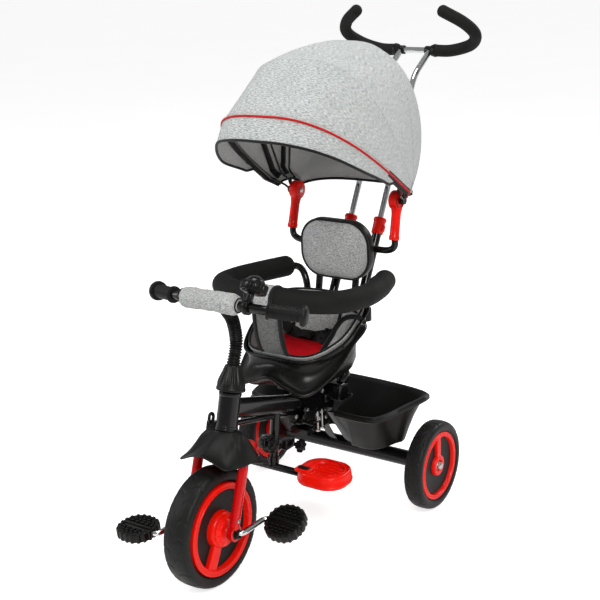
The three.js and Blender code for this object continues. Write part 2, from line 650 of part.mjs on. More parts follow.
function headCushion() {
  const ring = (grow, y) => roundedOutline(180 * grow, 134 * grow, 46 * grow, 5).map((p) => vec(p.x, y,
    586 + p.y));
  add('head_cushion', skin([ring(0.9, -2), ring(1, -8), ring(1, -24), ring(0.9, -31)]), 'greyFabric');
}

// ---------------------------------------------------------------- safety ring
const GUARD_POINTS = [
  vec(132, -31, 532), vec(152, -95, 534), vec(162, -170, 539), vec(148, -244, 546), vec(98, -286, 551),
    vec(26, -298, 553),
];
function guards() {
  [['left', 1], ['right', -1]].forEach(([name, side]) => {
    const flip = (p) => vec(side * p.x, p.y, p.z);
    const curve = new THREE.CatmullRomCurve3(GUARD_POINTS.map(flip), false, 'centripetal');
    const points = curve.getPoints(11);
    const radii = points.map((_, i) => (i === 0 || i === points.length - 1 ? GUARD_R * 0.86 : GUARD_R));
    const hollow = [points[0].clone().lerp(points[1], -0.2), ...points.slice(1, 10)];
    add(`guard_foam_${name}`, cut(tube(points, radii, 12), tube(hollow, GUARD_TUBE_R + 0.8, 10)), 'foam');
    const stub = [GUARD_PIVOT.clone(), vec(78, -24, 500), vec(100, -14, 532),
      GUARD_POINTS[0].clone().lerp(GUARD_POINTS[1], -0.08)].map(flip);
    add(`guard_tube_${name}`, tube([...bentPoints(stub, 12, 2), ...points.slice(1, 9)], GUARD_TUBE_R,
      10), 'blackSteel');
  });
}

function straps() {
  const strap = (points, width, thickness) => skin(points.map((p, i) => {
    const ahead = points[Math.min(i + 1, points.length - 1)];
    const behind = points[Math.max(i - 1, 0)];
    const out = vec(1, 0, 0).cross(ahead.clone().sub(behind).normalize());
    const corner = (sx, so) => p.clone().add(vec(sx * width / 2, 0, 0)).addScaledVector(out,
      so * thickness / 2);
    return [corner(1, 1), corner(-1, 1), corner(-1, -1), corner(1, -1)];
  }));
  add('crotch_strap', strap([vec(0, -262, 424), vec(0, -272, 450), vec(0, -282, 480), vec(0, -292, 516)],
    52, 6), 'greyFabric');
}

function lapBelt() {
  const half = (side) => tube([vec(side * 14, -150, 424), vec(side * 50, -132, 428), vec(side * 92, -110,
    446)], 3, 6);
  const buckle = box(34, 24, 12, vec(0, -152, 424));
  add('lap_belt', join(half(1), half(-1), buckle), 'webbing');
}

// ---------------------------------------------------------------- push handle
const pushDir = PUSH_KINK.clone().sub(PUSH_COLLAR).normalize();
function pushPoint(side, yz, along = 0) {
  return vec(side * PUSH_X, yz.x + pushDir.x * along, yz.y + pushDir.y * along);
}
function pushHandle() {
  const sides = [1, -1];
  const low = (side) => pushPoint(side, PUSH_COLLAR, -384);
  const tubes = sides.map((side) => tube([low(side), pushPoint(side, PUSH_COLLAR, -6)], PUSH_TUBE_R, 14));
  const bores = sides.map((side) => tube([pushPoint(side, PUSH_COLLAR, -360), pushPoint(side,
    PUSH_COLLAR, 20)], PUSH_ROD_R + 0.6, 14));
  const foot = box(104, 34, 40, vec(0, -82, 274));
  const bracket = join(foot, box(46, 60, 20, vec(0, -86, 262)));
  const beam = ovalBeam(MAIN_FRONT, MAIN_REAR, 14.4, 21.4);
  add('push_sockets', cut(join(...tubes, bracket), ...bores, beam), 'blackSteel');
  const collars = sides.map((side) => tube([
    pushPoint(side, PUSH_COLLAR, -36), pushPoint(side, PUSH_COLLAR, -6), pushPoint(side, PUSH_COLLAR,
      -4), pushPoint(side, PUSH_COLLAR, 2)],
  [13.5, 13.5, 15, 13], 16));
  const shells = sides.map((side) => tube([pushPoint(side, PUSH_COLLAR, -60), pushPoint(side,
    PUSH_COLLAR, -5.7)], PUSH_TUBE_R + CLEAR, 14));
  ['left', 'right'].forEach((name, i) => {
    add(`push_collar_${name}`, cut(collars[i], bores[i], shells[i]), 'red');
  });
  const legPoints = (side) => [pushPoint(side, PUSH_COLLAR, -70), pushPoint(side, PUSH_KINK),
    vec(side * PUSH_X, PUSH_TOP.x, PUSH_TOP.y)];
  const legs = sides.map((side) => tube(bentPoints(legPoints(side), 24, 4), PUSH_ROD_R, 12));
  const cross = tube(hornPoints(1).concat(hornPoints(-1).reverse()), PUSH_ROD_R, 10);
  add('push_handle', join(...legs, cross), 'chrome');
  ['left', 'right'].forEach((name, i) => {
    const foam = tube(hornPoints(sides[i], 4), 14, 12);
    add(`push_grip_${name}`, cut(foam, tube(hornPoints(sides[i], 8), PUSH_ROD_R + 0.6, 10)), 'foam');
  });
}
// Centre line of one horn, from its free end back to the crossbar.
function hornPoints(side, extra = 0) {
  const curve = new THREE.CatmullRomCurve3([
    vec(side * 114, 280, 1082), vec(side * 156, 303, 1054), vec(side * 172, 328, 1026),
    vec(side * 148, 355, 1000), vec(side * 96, 359, 985), vec(side * (PUSH_X + 8), 358, 984),
  ], false, 'centripetal');
  const points = curve.getPoints(9);
  points[0].addScaledVector(points[0].clone().sub(points[1]).normalize(), extra);
  return points;
}

// ---------------------------------------------------------------- canopy
function canopyArm() {
  const route = [
    vec(PIVOT.x + 1, 11, 626), vec(137, 9, 588), vec(-137, 9, 588), vec(-PIVOT.x - 1, 11, 626)];
  add('canopy_arm', tube(bentPoints(route, 34, 5), 7.5, 10), 'blackSteel');
  const pivots = [1, -1].map((side) => join(
    tube([vec(side * (PIVOT.x + 1.5), 11, 631), vec(side * PIVOT.x, 25, 686)], 10.5, 14),
    rod(vec(side * (PIVOT.x - 12), PIVOT.y, PIVOT.z), vec(side * (PIVOT.x + 8), PIVOT.y, PIVOT.z), 21, 20)));
  const armEnds = [1, -1].map((side) => tube([vec(side * PIVOT.x, 9, 615), vec(side * (PIVOT.x + 1),
    10.4, 630.7)], 8, 12));
  ['left', 'right'].forEach((name, i) => add(`canopy_pivot_${name}`, cut(pivots[i], armEnds[i]), 'red'));
}

// A hoop: angle above straight ahead, reach of its crown and half its width.
const degrees = (d) => d * Math.PI / 180;
const hoop = (angle, reach, half) => ({ angle: degrees(angle), reach, half });
const VISOR_HOOP = hoop(28, 377, 184);
const FRONT_HOOP = hoop(36, 376, 186);
const MID_HOOP = hoop(62, 360, 182);
const REAR_HOOP = hoop(93, 338, 172);
const BACK_HOOPS = [hoop(108, 308, 166), hoop(124, 252, 160), hoop(140, 180, 154), hoop(152, 118, 150),
  hoop(172, 98, 148)];
const HOOP_STEPS = 8;              // points on half a hoop

// Points of a hoop, from its left foot over its crown to its right foot, drawn in by an inset.
function hoopPoints({ angle, reach, half }, inset) {
  const left = [[half - 20 - inset, 24]];
  for (let i = 1; i <= HOOP_STEPS; i += 1) {
    const t = Math.PI / 2 * i / HOOP_STEPS;
    const x = (half - inset) * Math.cos(t) ** (2 / 3);
    left.push([i === HOOP_STEPS ? 0 : x, Math.max(32, (reach - inset) * Math.sin(t) ** (2 / 3))]);
  }
  const right = left.slice(0, -1).reverse().map(([x, r]) => [-x, r]);
  return [...left, ...right].map(([x, r]) => vec(x, PIVOT.y - r * Math.cos(angle),
    PIVOT.z + r * Math.sin(angle)));
}

const between = (a, b, t) => ({
  angle: a.angle + (b.angle - a.angle) * t,
  reach: a.reach + (b.reach - a.reach) * t,
  half: a.half + (b.half - a.half) * t,
});

// A thin closed skin through a row of hoops.
function shell(hoops, inset) {
  const rings = hoops.map((h) => [
    ...hoopPoints(h, inset), ...hoopPoints(h, inset + CANOPY_THICK).reverse()]);
  const n = rings[0].length;
  const g = new THREE.BufferGeometry();
  const position = rings.flat().flatMap((p) => [p.x, p.y, p.z]);
  const index = [];
  for (let r = 0; r < rings.length - 1; r += 1) {
    for (let i = 0; i < n; i += 1) {
      const j = (i + 1) % n;
      index.push(r * n + i, r * n + j, (r + 1) * n + j, r * n + i, (r + 1) * n + j, (r + 1) * n + i);
    }
  }
  [[0, 1], [rings.length - 1, -1]].forEach(([r, turn]) => {
    for (let i = 0; i < n / 2 - 1; i += 1) {
      const [a, b, c, d] = [i, i + 1, n - 2 - i, n - 1 - i].map((k) => r * n + k);
      if (turn > 0) index.push(a, c, b, a, d, c);
      else index.push(a, b, c, a, c, d);
    }
  });
  g.setAttribute('position', new THREE.Float32BufferAttribute(position, 3));
  g.setIndex(index);
  return g;
}

// A wire rib: from one hinge eye over the crown to the other.
function rib(shape, inset, pivotX) {
  const points = hoopPoints(shape, inset);
  const foot = (p) => p.setX(Math.sign(p.x) * Math.max(Math.abs(p.x), pivotX));
  foot(points[0]);
  foot(points[points.length - 1]);
  const start = (side) => vec(side * pivotX, PIVOT.y, PIVOT.z);
  const eyes = [1, -1].map((side) => rod(start(side).add(vec(-1.6, 0, 0)), start(side).add(vec(1.6, 0,
    0)), 8, 10));
  return join(tube([start(1), ...points, start(-1)], 2.5, 6), ...eyes);
}

function canopy() {
  add('canopy_rib_front', rib(FRONT_HOOP, 16, 151), 'blackSteel');
  add('canopy_rib_mid', rib(MID_HOOP, 24, 144.4), 'blackSteel');
  const nearlyMid = between(FRONT_HOOP, MID_HOOP, 0.98);
  add('canopy_shell_front', shell([VISOR_HOOP, FRONT_HOOP, between(FRONT_HOOP, MID_HOOP, 0.5),
    nearlyMid], 0), 'greyFabric');
  const nearlyRear = between(MID_HOOP, REAR_HOOP, 0.98);
  add('canopy_shell_mid', shell([MID_HOOP, between(MID_HOOP, REAR_HOOP, 0.5), nearlyRear], 4.5),
    'greyFabric');
  add('canopy_shell_rear', shell([REAR_HOOP, ...BACK_HOOPS], 9), 'greyFabric');
}

// ---------------------------------------------------------------- build
frontWheel();
crank();
pedal(1, 'pedal_left', 0.45);
pedal(-1, 'pedal_right', 0.04);
fork();
fender();
steeringColumn();
handlebar();
bell();
mainFrame();
headBush();
rearFrame();
rearWheels();
footrests();
seatBracket();
starKnob('star_knob_front', vec(20, -330, 232));
starKnob('star_knob_rear', vec(28, -240, 200));
storageTub();
seat();
backTubes();
headCushion();
guards();
straps();
lapBelt();
pushHandle();
canopyArm();
canopy();

export default model;
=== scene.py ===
"""Looks of the children's tricycle: fine meshes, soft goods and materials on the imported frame."""

import math

import bmesh
import bpy
import numpy as np
from mathutils import Matrix, Vector

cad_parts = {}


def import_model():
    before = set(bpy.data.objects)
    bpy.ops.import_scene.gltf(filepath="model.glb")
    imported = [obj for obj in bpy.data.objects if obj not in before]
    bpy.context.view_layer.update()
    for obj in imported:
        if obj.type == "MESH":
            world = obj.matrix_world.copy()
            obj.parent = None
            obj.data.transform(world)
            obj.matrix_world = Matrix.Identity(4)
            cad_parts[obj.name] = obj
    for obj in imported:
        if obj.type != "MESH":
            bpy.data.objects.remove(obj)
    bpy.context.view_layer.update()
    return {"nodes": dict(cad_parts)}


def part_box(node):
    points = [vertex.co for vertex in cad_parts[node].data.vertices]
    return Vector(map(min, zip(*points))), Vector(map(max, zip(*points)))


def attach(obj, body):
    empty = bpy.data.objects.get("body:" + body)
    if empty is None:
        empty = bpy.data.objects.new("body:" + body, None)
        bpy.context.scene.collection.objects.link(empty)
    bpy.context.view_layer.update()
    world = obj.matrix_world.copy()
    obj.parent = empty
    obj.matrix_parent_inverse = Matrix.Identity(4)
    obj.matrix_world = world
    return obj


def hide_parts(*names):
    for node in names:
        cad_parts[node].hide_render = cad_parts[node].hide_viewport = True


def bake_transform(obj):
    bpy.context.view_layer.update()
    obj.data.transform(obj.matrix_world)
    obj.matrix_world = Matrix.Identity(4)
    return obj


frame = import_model()

# ---------------------------------------------------------------- sizes, in millimetres
# The working frame is the part's: X to the rider's left, Z up, Y = 0 at the rear axle.
MM = 0.001
REAR_Y = sum(p.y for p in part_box("rear_axle")) / 2
RAKE = math.radians(15.65)
HEAD_LOW = np.array([0, -451, 312.0])
STEER = np.array([0, math.sin(RAKE), math.cos(RAKE)])
HEAD_LENGTH = 78
FRONT_AXLE = np.array([0, -518, 125.0])
REAR_R = 101.5
TRACK = 229
FORK_X = 57
CRANK_TILT = math.radians(4)
CRANK_ARM = 76
PEDAL_X = 131
BAR_Y = -450
PAD_Y = BAR_Y - 2.9
GRIP_X = 108
GRIP_END = np.array([185, -418, 573.0])
FOOT_Y, FOOT_Z = -298, 167
PAD_LOW = 156
PUSH_X = 39
COLLAR = np.array([112, 629.0])
KINK = np.array([279, 934.0])
PUSH_TOP = np.array([358, 984.0])
PIVOT = np.array([133, 27, 700.0])
SEAT_Y = -170
CUSHION_Z = 586
# The camera that was fitted to the photograph: metres from the rear axle, degrees, millimetres.
CAMERA_AT = (1.4118, -2.2036, 1.2925)
CAMERA_TURN = (34.76, 17.58, -2.44)
LENS = 72.04
SIDES = (("left", 1), ("right", -1))
NEAR_CORNER = 0.48
DOME_END = 0.985


def V(*p):
    return np.array(p, float)


def unit(v):
    return v / np.linalg.norm(v)


def around(count):
    """Evenly spaced angles of a full turn."""
    return [2 * math.pi * k / count for k in range(count)]


# ---------------------------------------------------------------- curves
def spline(points, count, closed=False):
    """Points on a smooth curve through the given ones."""
    p = np.array(points, float)
    n = len(p)
    spans = n if closed else n - 1
    out = []
    for k in range(count + (0 if closed else 1)):
        s = min(k * spans / count, spans - 1e-9)
        i, t = int(s), s - int(s)
        if closed:
            a, b, c, d = (p[(i + j) % n] for j in (-1, 0, 1, 2))
        else:
            b, c = p[i], p[i + 1]
            a = p[i - 1] if i else 2 * b - c
            d = p[i + 2] if i + 2 < n else 2 * c - b
        square, cube = 2 * a - 5 * b + 4 * c - d, 3 * b - a - 3 * c + d
        out.append(0.5 * (2 * b + (c - a) * t + square * t**2 + cube * t**3))
    return np.array(out)


def even(points, count, closed=False):
    """The same curve with its points evenly spaced."""
    p = np.array(points, float)
    if closed:
        p = np.vstack([p, p[:1]])
    s = np.concatenate([[0], np.cumsum(np.linalg.norm(np.diff(p, axis=0), axis=1))])
    at = np.linspace(0, s[-1], count + 1)
    if closed:
        at = at[:-1]
    return np.stack([np.interp(at, s, p[:, k]) for k in range(p.shape[1])], 1)


def bent(points, bend, steps=6):
    """Straight runs with rounded corners."""
    p = [np.array(q, float) for q in points]
    out = [p[0]]
    for i in range(1, len(p) - 1):
        before = p[i] + (p[i - 1] - p[i]) * min(NEAR_CORNER, bend / np.linalg.norm(p[i] - p[i - 1]))
        after = p[i] + (p[i + 1] - p[i]) * min(NEAR_CORNER, bend / np.linalg.norm(p[i] - p[i + 1]))
        for k in range(steps + 1):
            t = k / steps
            out.append(before * (1 - t) ** 2 + p[i] * 2 * t * (1 - t) + after * t * t)
    out.append(p[-1])
    return np.array(out)


def rounded_loop(points, bend, steps=4):
    """A closed outline with its corners rounded off."""
    p = [np.array(q, float) for q in points]
    out = []
    for i, corner in enumerate(p):
        a, b = p[i - 1], p[(i + 1) % len(p)]
        before = corner + (a - corner) * min(NEAR_CORNER, bend / np.linalg.norm(a - corner))
        after = corner + (b - corner) * min(NEAR_CORNER, bend / np.linalg.norm(b - corner))
        for k in range(steps + 1):
            t = k / steps
            out.append(before * (1 - t) ** 2 + corner * 2 * t * (1 - t) + after * t * t)
    return np.array(out)


def rounded_box(width, height, radius, steps=8):
    """Outline of a rectangle with round corners, centred."""
    out = []
    for cx, cy, start in ((1, 1, 0), (-1, 1, 90), (-1, -1, 180), (1, -1, 270)):
        for k in range(steps + 1):
            t = math.radians(start + 90 * k / steps)
            out.append((cx * (width / 2 - radius) + radius * math.cos(t),
                cy * (height / 2 - radius) + radius * math.sin(t)))
    return np.array(out)


def offset(outline, by):
    """A closed flat outline moved outwards."""
    p = np.array(outline, float)
    ahead, behind = np.roll(p, -1, 0), np.roll(p, 1, 0)
    t = ahead - behind
    t /= np.linalg.norm(t, axis=1)[:, None] + 1e-9
    return p + np.stack([t[:, 1], -t[:, 0]], 1) * by


def mirrored(half):
    """A profile and its mirror image, joined end to end."""
    return half + [(-h, r) for h, r in half[::-1]]


def sided(side, profile):
    """A profile of (height, radius) pairs on the left (1) or the right (-1)."""
    return [(side * h, r) for h, r in profile]


def flip(points, side):
    return [np.array([side * q[0], q[1], q[2]], float) for q in points]


# ---------------------------------------------------------------- shapes: (points, faces)
def skin(rings, closed=True, caps=True):
    """A surface through rings of equal length."""
    n = len(rings[0])
    verts = np.concatenate([np.array(r, float) for r in rings])
    faces = []
    for i in range(len(rings) - 1):
        for j in range(n if closed else n - 1):
            k = (j + 1) % n
            faces.append((i * n + j, i * n + k, (i + 1) * n + k, (i + 1) * n + j))
    if caps and closed:
        faces.append(tuple(range(n))[::-1])
        faces.append(tuple((len(rings) - 1) * n + j for j in range(n)))
    return verts, faces


def loop_skin(rings):
    """A surface through rings that come back to the first, such as a tyre."""
    n = len(rings[0])
    verts = np.concatenate([np.array(r, float) for r in rings])
    m = len(rings)
    faces = [
        (i * n + j, i * n + (j + 1) % n, (i + 1) % m * n + (j + 1) % n, (i + 1) % m * n + j)
        for i in range(m) for j in range(n)]
    return verts, faces


def frames(points):
    """Tangent and two normals at each point of a path, without twist."""
    p = np.array(points, float)
    t = np.gradient(p, axis=0)
    t /= np.linalg.norm(t, axis=1)[:, None]
    side = V(0, 0, 1) if abs(t[0][0]) > 0.8 else V(1, 0, 0)
    out = []
    for tangent in t:
        side = unit(side - tangent * (side @ tangent))
        out.append((tangent, side, np.cross(tangent, side)))
    return p, out


def sweep(points, radius, sides=24, squash=1.0):
    """A round bar along a path; the radius may change along it."""
    p, axes = frames(points)
    radii = np.broadcast_to(np.array(radius, float), (len(p),))
    turn = around(sides)
    return skin([
        [q + r * (math.cos(a) * s + squash * math.sin(a) * u) for a in turn]
        for q, r, (_, s, u) in zip(p, radii, axes)])


def domed(points, radius, dome=None, steps=6):
    """Path and radii of a bar whose two ends are round."""
    p = np.array(points, float)
    dome = radius if dome is None else dome
    first, last = unit(p[0] - p[1]), unit(p[-1] - p[-2])
    out, radii = [], []
    for k in range(steps, 0, -1):
        a = math.pi / 2 * k / steps * DOME_END
        out.append(p[0] + first * dome * math.sin(a))
        radii.append(radius * math.cos(a))
    out.extend(p)
    radii.extend([radius] * len(p))
    for k in range(1, steps + 1):
        a = math.pi / 2 * k / steps * DOME_END
        out.append(p[-1] + last * dome * math.sin(a))
        radii.append(radius * math.cos(a))
    return np.array(out), radii


def turned(profile, centre, axis, segments=96, loop=False):
    """A turned shape from (height, radius) pairs about an axis."""
    axis = unit(np.array(axis, float))
    side = unit(np.cross(axis, V(0, 0, 1) if abs(axis[2]) < 0.9 else V(1, 0, 0)))
    up = np.cross(axis, side)
    rings = [
        [centre + axis * h + max(r, 0.02) * (math.cos(a) * side + math.sin(a) * up)
         for a in around(segments)]
        for h, r in profile]
    return loop_skin(rings) if loop else skin(rings)


def plate(outline, low, high, edge=1.5, steps=3):
    """A flat plate with rounded edges, from a closed outline in X-Y."""
    ring = lambda inset, z: [V(x, y, z) for x, y in offset(outline, -inset)]
    quarter = [math.pi / 2 * k / steps for k in range(steps + 1)]
    lower = [(edge * (1 - math.sin(a)), low + edge * (1 - math.cos(a))) for a in quarter]
    upper = [(i, low + high - z) for i, z in reversed(lower)]
    return skin([ring(i, z) for i, z in lower + upper])


def block(size, centre, edge=1.5, turn=None, corner=3):
    """A box with rounded edges."""
    w, d, h = size
    verts, faces = plate(rounded_box(w, d, min(corner, w / 2.01, d / 2.01), 4), -h / 2, h / 2,
        min(edge, h / 2.1))
    if turn is not None:
        verts = verts @ np.array(turn, float).T
    return verts + np.array(centre, float), faces


def moved(shape, by):
    return shape[0] + np.array(by, float), shape[1]


def rotated(shape, axis, degrees, about=(0, 0, 0)):
    m = np.array(Matrix.Rotation(math.radians(degrees), 3, Vector(axis)))
    c = np.array(about, float)
    return (shape[0] - c) @ m.T + c, shape[1]


def merged(*shapes):
    verts, faces, base = [], [], 0
    for v, f in shapes:
        verts.append(v)
        faces.extend(tuple(i + base for i in face) for face in f)
        base += len(v)
    return np.concatenate(verts), faces


def ribbon(points, width, thickness, across=(1, 0, 0), crown=0.0):
    """A strap along a path: a flat closed band whose width runs along across."""
    p = np.array(points, float)
    t = np.gradient(p, axis=0)
    rings = []
    widths = np.broadcast_to(np.array(width, float), (len(p),))
    for q, d, w in zip(p, t, widths):
        a = unit(np.array(across, float) - unit(d) * (np.array(across, float) @ unit(d)))
        out = np.cross(a, unit(d))
        ring = []
        for sx, so in ((-1, -1), (-0.5, -1), (0, -1), (0.5, -1), (1, -1), (1, 1), (0.5, 1), (0, 1),
            (-0.5, 1), (-1, 1)):
            lift = so * thickness / 2 * (0.5 if abs(sx) == 1 else 1) + crown * (1 - sx * sx)
            ring.append(q + a * sx * w / 2 + out * lift)
        rings.append(ring)
    return skin(rings)


def stitches(points, pitch=5.0, share=0.6, radius=0.45):
    """A row of short threads along a path."""
    p = np.array(points, float)
    length = np.linalg.norm(np.diff(p, axis=0), axis=1).sum()
    count = max(2, int(length / pitch))
    fine = even(p, count * 4)
    parts = []
    for i in range(count):
        a, b = fine[4 * i], fine[4 * i] + (fine[4 * i + 4] - fine[4 * i]) * share
        parts.append(sweep([a, (a + b) / 2, b], [radius * 0.5, radius, radius * 0.5], 5))
    return merged(*parts)


def screw(at, axis, radius=4.0, height=2.2):
    """A plain pan head."""
    profile = [(0, radius), (height * 0.55, radius * 0.97), (height * 0.85, radius * 0.75),
        (height, radius * 0.4), (height, 0)]
    return turned(profile, at, axis, 24)


def nut(at, axis, radius=6.0, height=5.0):
    """A hexagon with a domed end."""
    return turned([(0, radius), (height * 0.8, radius), (height, radius * 0.88), (height, 0)], at, axis, 6)


# ---------------------------------------------------------------- pieces
def piece(name, shape, material, body, replaces=(), smooth=35, subdivide=0, uv=None, slot=None):
    """Makes a mesh object in metres and lets it ride a body."""
    verts, faces = shape
    mesh = bpy.data.meshes.new(name)
    mesh.from_pydata([(x * MM, y * MM + REAR_Y, z * MM) for x, y, z in verts], [],
        [list(map(int, f)) for f in faces])
    mesh.materials.append(material)
    bm = bmesh.new()
    bm.from_mesh(mesh)
    bmesh.ops.recalc_face_normals(bm, faces=bm.faces)
    bm.to_mesh(mesh)
    bm.free()
    if uv is not None:
        layer = mesh.uv_layers.new(name="UVMap")
        index = np.zeros(len(mesh.loops), np.int32)
        mesh.loops.foreach_get("vertex_index", index)
        layer.data.foreach_set("uv", np.array(uv, np.float32)[index].ravel())
    obj = bpy.data.objects.new(name, mesh)
    bpy.context.scene.collection.objects.link(obj)
    if subdivide:
        sub = obj.modifiers.new("smooth", "SUBSURF")
        sub.levels = sub.render_levels = subdivide
    mesh.shade_smooth()
    if smooth and not subdivide:
        mesh.set_sharp_from_angle(angle=math.radians(smooth))
    if body:
        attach(obj, body)
    if replaces:
        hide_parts(*([replaces] if isinstance(replaces, str) else replaces))
    slot = slot or SLOT_OF.get(material.name)
    return obj


def keep(node, material, bevel=0.8):
    """Gives a CAD node its material and softens its edges."""
    obj = frame["nodes"][node]
    obj.data.materials.clear()
    obj.data.materials.append(material)
    if bevel:
        m = obj.modifiers.new("edges", "BEVEL")
        m.width, m.segments, m.limit_method, m.angle_limit = bevel * MM, 3, "ANGLE", math.radians(40)
    obj.data.shade_smooth()
    obj.data.set_sharp_from_angle(angle=math.radians(38))
    return obj


# ---------------------------------------------------------------- materials
class Shader:
    """A small helper round one node tree."""

    def __init__(self, name):
        self.mat = bpy.data.materials.new(name)
        self.mat.use_nodes = True
        self.nodes = self.mat.node_tree.nodes
        self.links = self.mat.node_tree.links
        self.out = self.nodes["Principled BSDF"]

    def set(self, **values):
        for key, value in values.items():
            self.out.inputs[key.replace("_", " ")].default_value = value
        return self

    def add(self, kind, inputs=(), **fields):
        node = self.nodes.new("ShaderNode" + kind)
        for key, value in fields.items():
            setattr(node, key, value)
        for key, value in dict(inputs).items():
            if isinstance(value, bpy.types.NodeSocket):
                self.links.new(value, node.inputs[key])
            else:
                node.inputs[key].default_value = value
        return node

    def coords(self, kind="Object", scale=(1, 1, 1), turn=(0, 0, 0)):
        where = self.add("TexCoord").outputs[kind]
        return self.add("Mapping", {"Vector": where, "Scale": scale, "Rotation": turn}).outputs[0]

    def noise(self, where, scale, detail=3.0, rough=0.55):
        return self.add("TexNoise",
            {"Vector": where, "Scale": scale, "Detail": detail, "Roughness": rough}).outputs[0]

    def ramp(self, value, low, high, to_low=0.0, to_high=1.0):
        return self.add("MapRange",
            {"Value": value, "From Min": low, "From Max": high, "To Min": to_low,
            "To Max": to_high}).outputs[0]

    def math(self, op, a, b=0.0):
        node = self.add("Math", operation=op)
        for k, v in enumerate((a, b)):
            if isinstance(v, bpy.types.NodeSocket):
                self.links.new(v, node.inputs[k])
            else:
                node.inputs[k].default_value = v
        return node.outputs[0]

    def mix(self, amount, a, b):
        node = self.add("Mix", data_type="RGBA")
        for k, v in ((0, amount), (6, a), (7, b)):
            if isinstance(v, bpy.types.NodeSocket):
                self.links.new(v, node.inputs[k])
            else:
                node.inputs[k].default_value = v
        return node.outputs[2]

    def bump(self, height, distance, strength=1.0, normal=None):
        inputs = {"Height": height, "Distance": distance, "Strength": strength}
        if normal is not None:
            inputs["Normal"] = normal
        return self.add("Bump", inputs).outputs[0]

    def plug(self, **sockets):
        for key, socket in sockets.items():
            self.links.new(socket, self.out.inputs[key.replace("_", " ")])
        return self


def rgb(r, g, b):
    return (r, g, b, 1.0)


def plastic(name, colour, rough, grain=0.02, grain_scale=900, coat=0.0, dust=0.5):
    """Moulded plastic: fine grain, slow changes of gloss, a little rubbed-off shine."""
    s = Shader(name).set(Coat_Weight=coat, Coat_Roughness=0.08, Specular_IOR_Level=0.2)
    where = s.coords()
    cloud = s.noise(where, 14, 4)
    fine = s.noise(where, grain_scale, 2)
    lighter = tuple(min(1, c * 1.4 + 0.006) for c in colour[:3]) + (1,)
    darker = tuple(c * 0.82 for c in colour[:3]) + (1,)
    tone = s.mix(s.ramp(cloud, 0.35, 0.7), darker, colour)
    tone = s.mix(s.ramp(fine, 0.55, 0.9, 0, 0.25 * dust), tone, lighter)
    scuff = s.ramp(s.noise(s.coords(scale=(1, 7, 2)), 70, 5, 0.7), 0.58, 0.8)
    rough_now = s.math("ADD", s.ramp(cloud, 0.3, 0.75, rough - 0.05, rough + 0.07),
        s.math("MULTIPLY", scuff, 0.06))
    return s.plug(Base_Color=tone, Roughness=rough_now, Normal=s.bump(fine, grain * MM, 1.0)).mat


def metal(name, colour, rough, metallic, coat=0.0, brushed=0.0, peel=0.0):
    """Painted or plated tube: fine orange peel or brushing and slow changes of gloss."""
    s = Shader(name).set(Metallic=metallic, Coat_Weight=coat, Coat_Roughness=0.05,
        Specular_IOR_Level=0.5 if metallic else 0.22)
    where = s.coords()
    cloud = s.noise(where, 11, 5)
    tone = s.mix(s.ramp(cloud, 0.3, 0.75), tuple(c * 0.86 for c in colour[:3]) + (1,), colour)
    spots = s.ramp(s.noise(where, 420, 2), 0.7, 0.8, 0, 0.12)
    tone = s.mix(spots, tone, tuple(min(1, c * 1.4 + 0.02) for c in colour[:3]) + (1,))
    skin_height = s.noise(s.coords(scale=(1, 1, 0.2)) if brushed else where, 900 if brushed else 380, 3)
    return s.plug(
        Base_Color=tone,
        Roughness=s.ramp(cloud, 0.3, 0.75, rough * 0.8, rough * 1.35),
        Normal=s.bump(skin_height, (brushed or peel or 0.01) * MM)).mat


def melange(name, light, dark, uv=True, fold=0.4, streak=150.0):
    """Heather cloth: light and dark yarns in short slanted streaks, a fine twill, slight soiling."""
    s = Shader(name).set(Roughness=0.95, Sheen_Weight=0.2, Sheen_Roughness=0.5, Specular_IOR_Level=0.12)
    kind = "UV" if uv else "Object"
    flat = s.coords(kind)
    across = s.noise(s.coords(kind, (1, 5, 4), (0, 0, 0.1)), streak * 0.85, 4, 0.72)
    along = s.noise(s.coords(kind, (4, 1, 3), (0, 0, -0.3)), streak * 1.3, 3, 0.75)
    speck = s.noise(flat, streak * 5, 2, 0.8)
    yarn = s.math("ADD", s.ramp(across, 0.44, 0.6, 0, 0.7), s.ramp(along, 0.4, 0.64, 0, 0.23))
    yarn = s.math("ADD", yarn, s.ramp(speck, 0.35, 0.7, 0, 0.25))
    tone = s.mix(s.ramp(yarn, 0.12, 0.9), light, dark)
    blotch = s.ramp(s.noise(flat, 26, 4), 0.35, 0.7, 0.0, 0.14)
    tone = s.mix(blotch, tone, tuple(c * 0.8 for c in dark[:3]) + (1,))
    twill = {"Scale": 430.0, "Distortion": 0.6, "Detail": 2.0, "Detail Scale": 2.0}
    warp = s.add("TexWave", {"Vector": s.coords(kind, turn=(0, 0, 0.55)), **twill}).outputs[1]
    weft = s.add("TexWave", {"Vector": s.coords(kind, turn=(0, 0, -1.0)), **twill}).outputs[1]
    normal = s.bump(s.noise(flat, 38, 3), fold * MM)
    normal = s.bump(s.math("ADD", s.math("MULTIPLY", warp, weft), yarn), 0.2 * MM, 1.0, normal)
    return s.plug(Base_Color=tone, Normal=normal).mat


